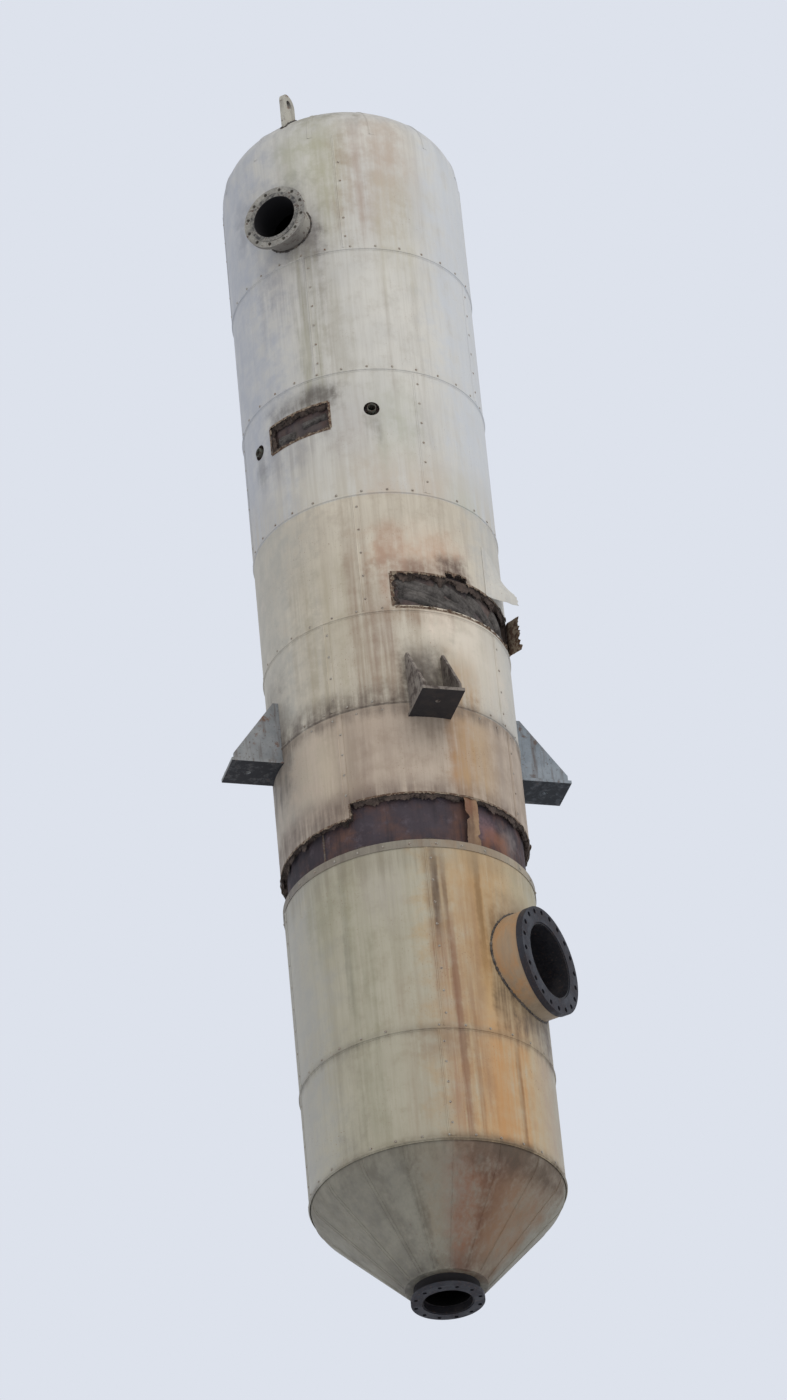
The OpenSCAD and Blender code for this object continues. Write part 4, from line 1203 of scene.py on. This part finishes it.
# Each fringe: where it starts and ends, the way into the hole, its outer radius and how long it is
FRINGES = (
    ((5, BAND_TOP_Z), (110, BAND_TOP_Z), DOWNWARDS, BAND_WOOL_R, 0.028),
    ((112, BAND_TOP_Z), (200, BAND_TOP_Z), DOWNWARDS, BAND_WOOL_R, 0.024),
    ((201, BAND_TOP_Z), (273, BAND_TOP_Z), DOWNWARDS, BAND_WOOL_R, 0.026),
    ((-84, BAND_TOP_Z - 0.06), (2, BAND_TOP_Z - 0.06), DOWNWARDS, WOOL_OUTER_R, 0.060),
    ((33, LOWER_HOLE_TOP), (114, LOWER_HOLE_TOP), DOWNWARDS, WOOL_OUTER_R, 0.040),
    ((114, LOWER_HOLE_LOW), (33, LOWER_HOLE_LOW), UPWARDS, WOOL_OUTER_R, 0.026),
    ((33, 0.83), (33, 1.09), RIGHTWARDS, WOOL_OUTER_R, 0.040),
    ((-22, UPPER_HOLE_TOP), (12, UPPER_HOLE_TOP), DOWNWARDS, WOOL_OUTER_R, 0.030),
    ((12, UPPER_HOLE_LOW), (-22, UPPER_HOLE_LOW), UPWARDS, WOOL_OUTER_R, 0.026),
    ((-22, 2.27), (-22, 2.47), RIGHTWARDS, WOOL_OUTER_R, 0.030),
    ((12, 2.47), (12, 2.27), LEFTWARDS, WOOL_OUTER_R, 0.022),
)
fringes = [wool_fringe(*fringe, key) for key, fringe in enumerate(FRINGES, 1)]
# The lower edge of the band, in six stretches
for start in range(0, 360, 60):
    stretch = ((start + 59.6, BAND_LOW_Z), (start, BAND_LOW_Z))
    fringes.append(wool_fringe(*stretch, UPWARDS, BAND_WOOL_R, 0.016, 20 + start))
done(joined(fringes), "wool_fringes", wool, 80)


def wool_mat(angle, z, half_length, half_width, slope, thickness, key):
    """A torn strip of matted wool that still clings to the shell, lying askew."""
    lean = math.radians(slope)
    columns = []
    for i in range(61):
        u = i / 30 - 1
        column = []
        for j in range(25):
            v = j / 12 - 1
            frayed = 1 + 0.25 * waver(u * 3, key, 5) + 0.12 * waver(u * 14, v * 3, key)
            along = u * half_length * (1 + 0.10 * waver(v * 6, key, 2))
            across = v * half_width * frayed
            # Ridges about 18 mm apart along the strip, and lumps of 60 mm
            ridges = waver(across * 55, along * 5, key)
            lumps = waver(across * 16, along * 14, key + 4)
            bulge = max(0.0, (1 - u**6) * (1 - v**4))
            height = thickness * bulge * (0.75 + 0.30 * ridges + 0.35 * lumps)
            place = angle + math.degrees((along * math.cos(lean) + across * math.sin(lean)) / SHELL_R)
            rise = across * math.cos(lean) - along * math.sin(lean)
            column.append(on_drum(place, z + rise, SHELL_R + height))
        columns.append(column)
    return sheet_through(columns, 0.004, -1)


# Each mat: its angle and height, half its length and half its width, its slope in degrees, its thickness
WOOL_MATS = (
    (47, 1.000, 0.175, 0.048, 12, 0.026),
    (50, 0.915, 0.190, 0.046, 17, 0.030),
    (67, 0.985, 0.170, 0.044, 24, 0.028),
    (69, 0.895, 0.140, 0.040, 14, 0.024),
    (84, 0.960, 0.150, 0.046, 30, 0.026),
    (101, 0.950, 0.120, 0.055, 40, 0.028),
    (-14, 2.350, 0.080, 0.030, 8, 0.022),
    (3, 2.385, 0.090, 0.026, -6, 0.020),
)
mats = [wool_mat(*mat, key) for key, mat in enumerate(WOOL_MATS, 1)]
done(joined(mats), "wool_remains", grey_wool, 80)


def model_flap():
    """The sheet torn loose at the lower hole's end: hinged at its right, crumpled, its free edge ragged."""
    hinge, low, height, reach, points = 115, 0.836, 0.252, 0.142, 40
    bend_r, bend = 0.060, math.radians(50)
    columns = []
    for i in range(points):
        far = i / (points - 1)
        column = []
        for j in range(points):
            rise = j / (points - 1)
            ragged = 1 - 0.30 * far * abs(waver(rise * 7, 2, 0)) - 0.06 * far * waver(rise * 22, 5, 0)
            travel = far * reach * ragged
            turn = min(travel / bend_r, bend)
            left = travel - turn * bend_r
            out = SHEET_R + bend_r - math.cos(turn) * bend_r + math.sin(turn) * left
            back = math.sin(turn) * bend_r + math.cos(turn) * left
            out += 0.010 * far * waver(rise * 4, far * 3, 9)
            sag = 0.012 * far * waver(rise * 3, far * 2, 4)
            level = towards(hinge) * out - towards(hinge + 90) * back
            column.append(level + UP * (low + rise * height + sag))
        columns.append(column)
    return sheet_through(columns, 0.0022)


def model_peeled_sheet():
    """The sheet's corner above it, painted pale as if lit: held at its top and left, its free edge stands
    off.
    """
    hinge, top, bottom, width, points = 86, 1.470, 1.097, 0.270, 44
    rows = []
    for j in range(points):
        down = j / (points - 1)
        opened = down * down * (3 - 2 * down)
        here = on_drum(hinge, top + (bottom - top) * down, SHEET_R + 0.0020)
        row = [here]
        reach = width * (1 - 0.16 * down * abs(waver(down * 9, 4, 1)))
        for i in range(1, points):
            travel = reach * i / (points - 1)
            # It follows the vessel where it is held, and turns away where it has opened
            turn = -math.degrees(travel / SHEET_R) * (1 - opened)
            turn += 24 * opened * min(1, i / 14) + 10 * opened * waver(travel * 9, down * 3, 2)
            away = math.radians(turn)
            heading = towards(hinge + 90) * math.cos(away) + towards(hinge) * math.sin(away)
            here = here + heading * (reach / (points - 1))
            sag = 0.010 * opened * waver(travel * 20, 3, down * 2)
            slope = 0.07 * (1 - down) * (travel / width) ** 1.6
            row.append(here + UP * (sag * i / points - slope))
        rows.append(row)
    columns = [[row[i] for row in reversed(rows)] for i in range(points)]
    return sheet_through(columns, 0.0018)


def model_strap():
    """The strip of sheet that still bridges the band: rust-eaten to ragged sides, bowed out and buckled."""
    middle, half_angle, steps, lines = 61, 3.7, 110, 18
    low, high = BAND_LOW_Z - 0.012, BAND_TOP_Z + 0.012
    # Each side: the key of its noise, and the height, depth and size of its deepest bite
    left_side, right_side = (11, -0.710, 0.50, 0.022), (17, -0.845, 0.42, 0.016)
    columns = []
    for i in range(lines + 1):
        side = 2 * i / lines - 1
        key, bite_z, bite_depth, bite_size = left_side if side < 0 else right_side
        column = []
        for j in range(steps + 1):
            share = j / steps
            z = low + (high - low) * share
            eaten = 0.10 + 0.22 * waver(z * 11, key, 0) + 0.12 * waver(z * 70, key, 2)
            eaten += bite_depth * math.exp(-(((z - bite_z) / bite_size) ** 2))
            hold = min(1.0, 8 * share, 8 * (1 - share))
            across = side * (1 - max(0.0, eaten) * hold)
            bow = 0.007 * math.sin(math.pi * share) + 0.006 * hold * waver(side * 1.6, z * 16, 8)
            column.append(on_drum(middle + half_angle * across, z, SHEET_R - 0.0035 + bow))
        columns.append(column)
    return sheet_through(columns, 0.0018)


strap = done(model_strap(), "ragged_strap", rust_sheet, 50)
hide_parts("band_strap")
flap = done(model_flap(), "crumpled_flap", torn_steel, 50)
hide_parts("torn_flap")
done(model_peeled_sheet(), "peeled_sheet", lit_peeled_paint, 50)
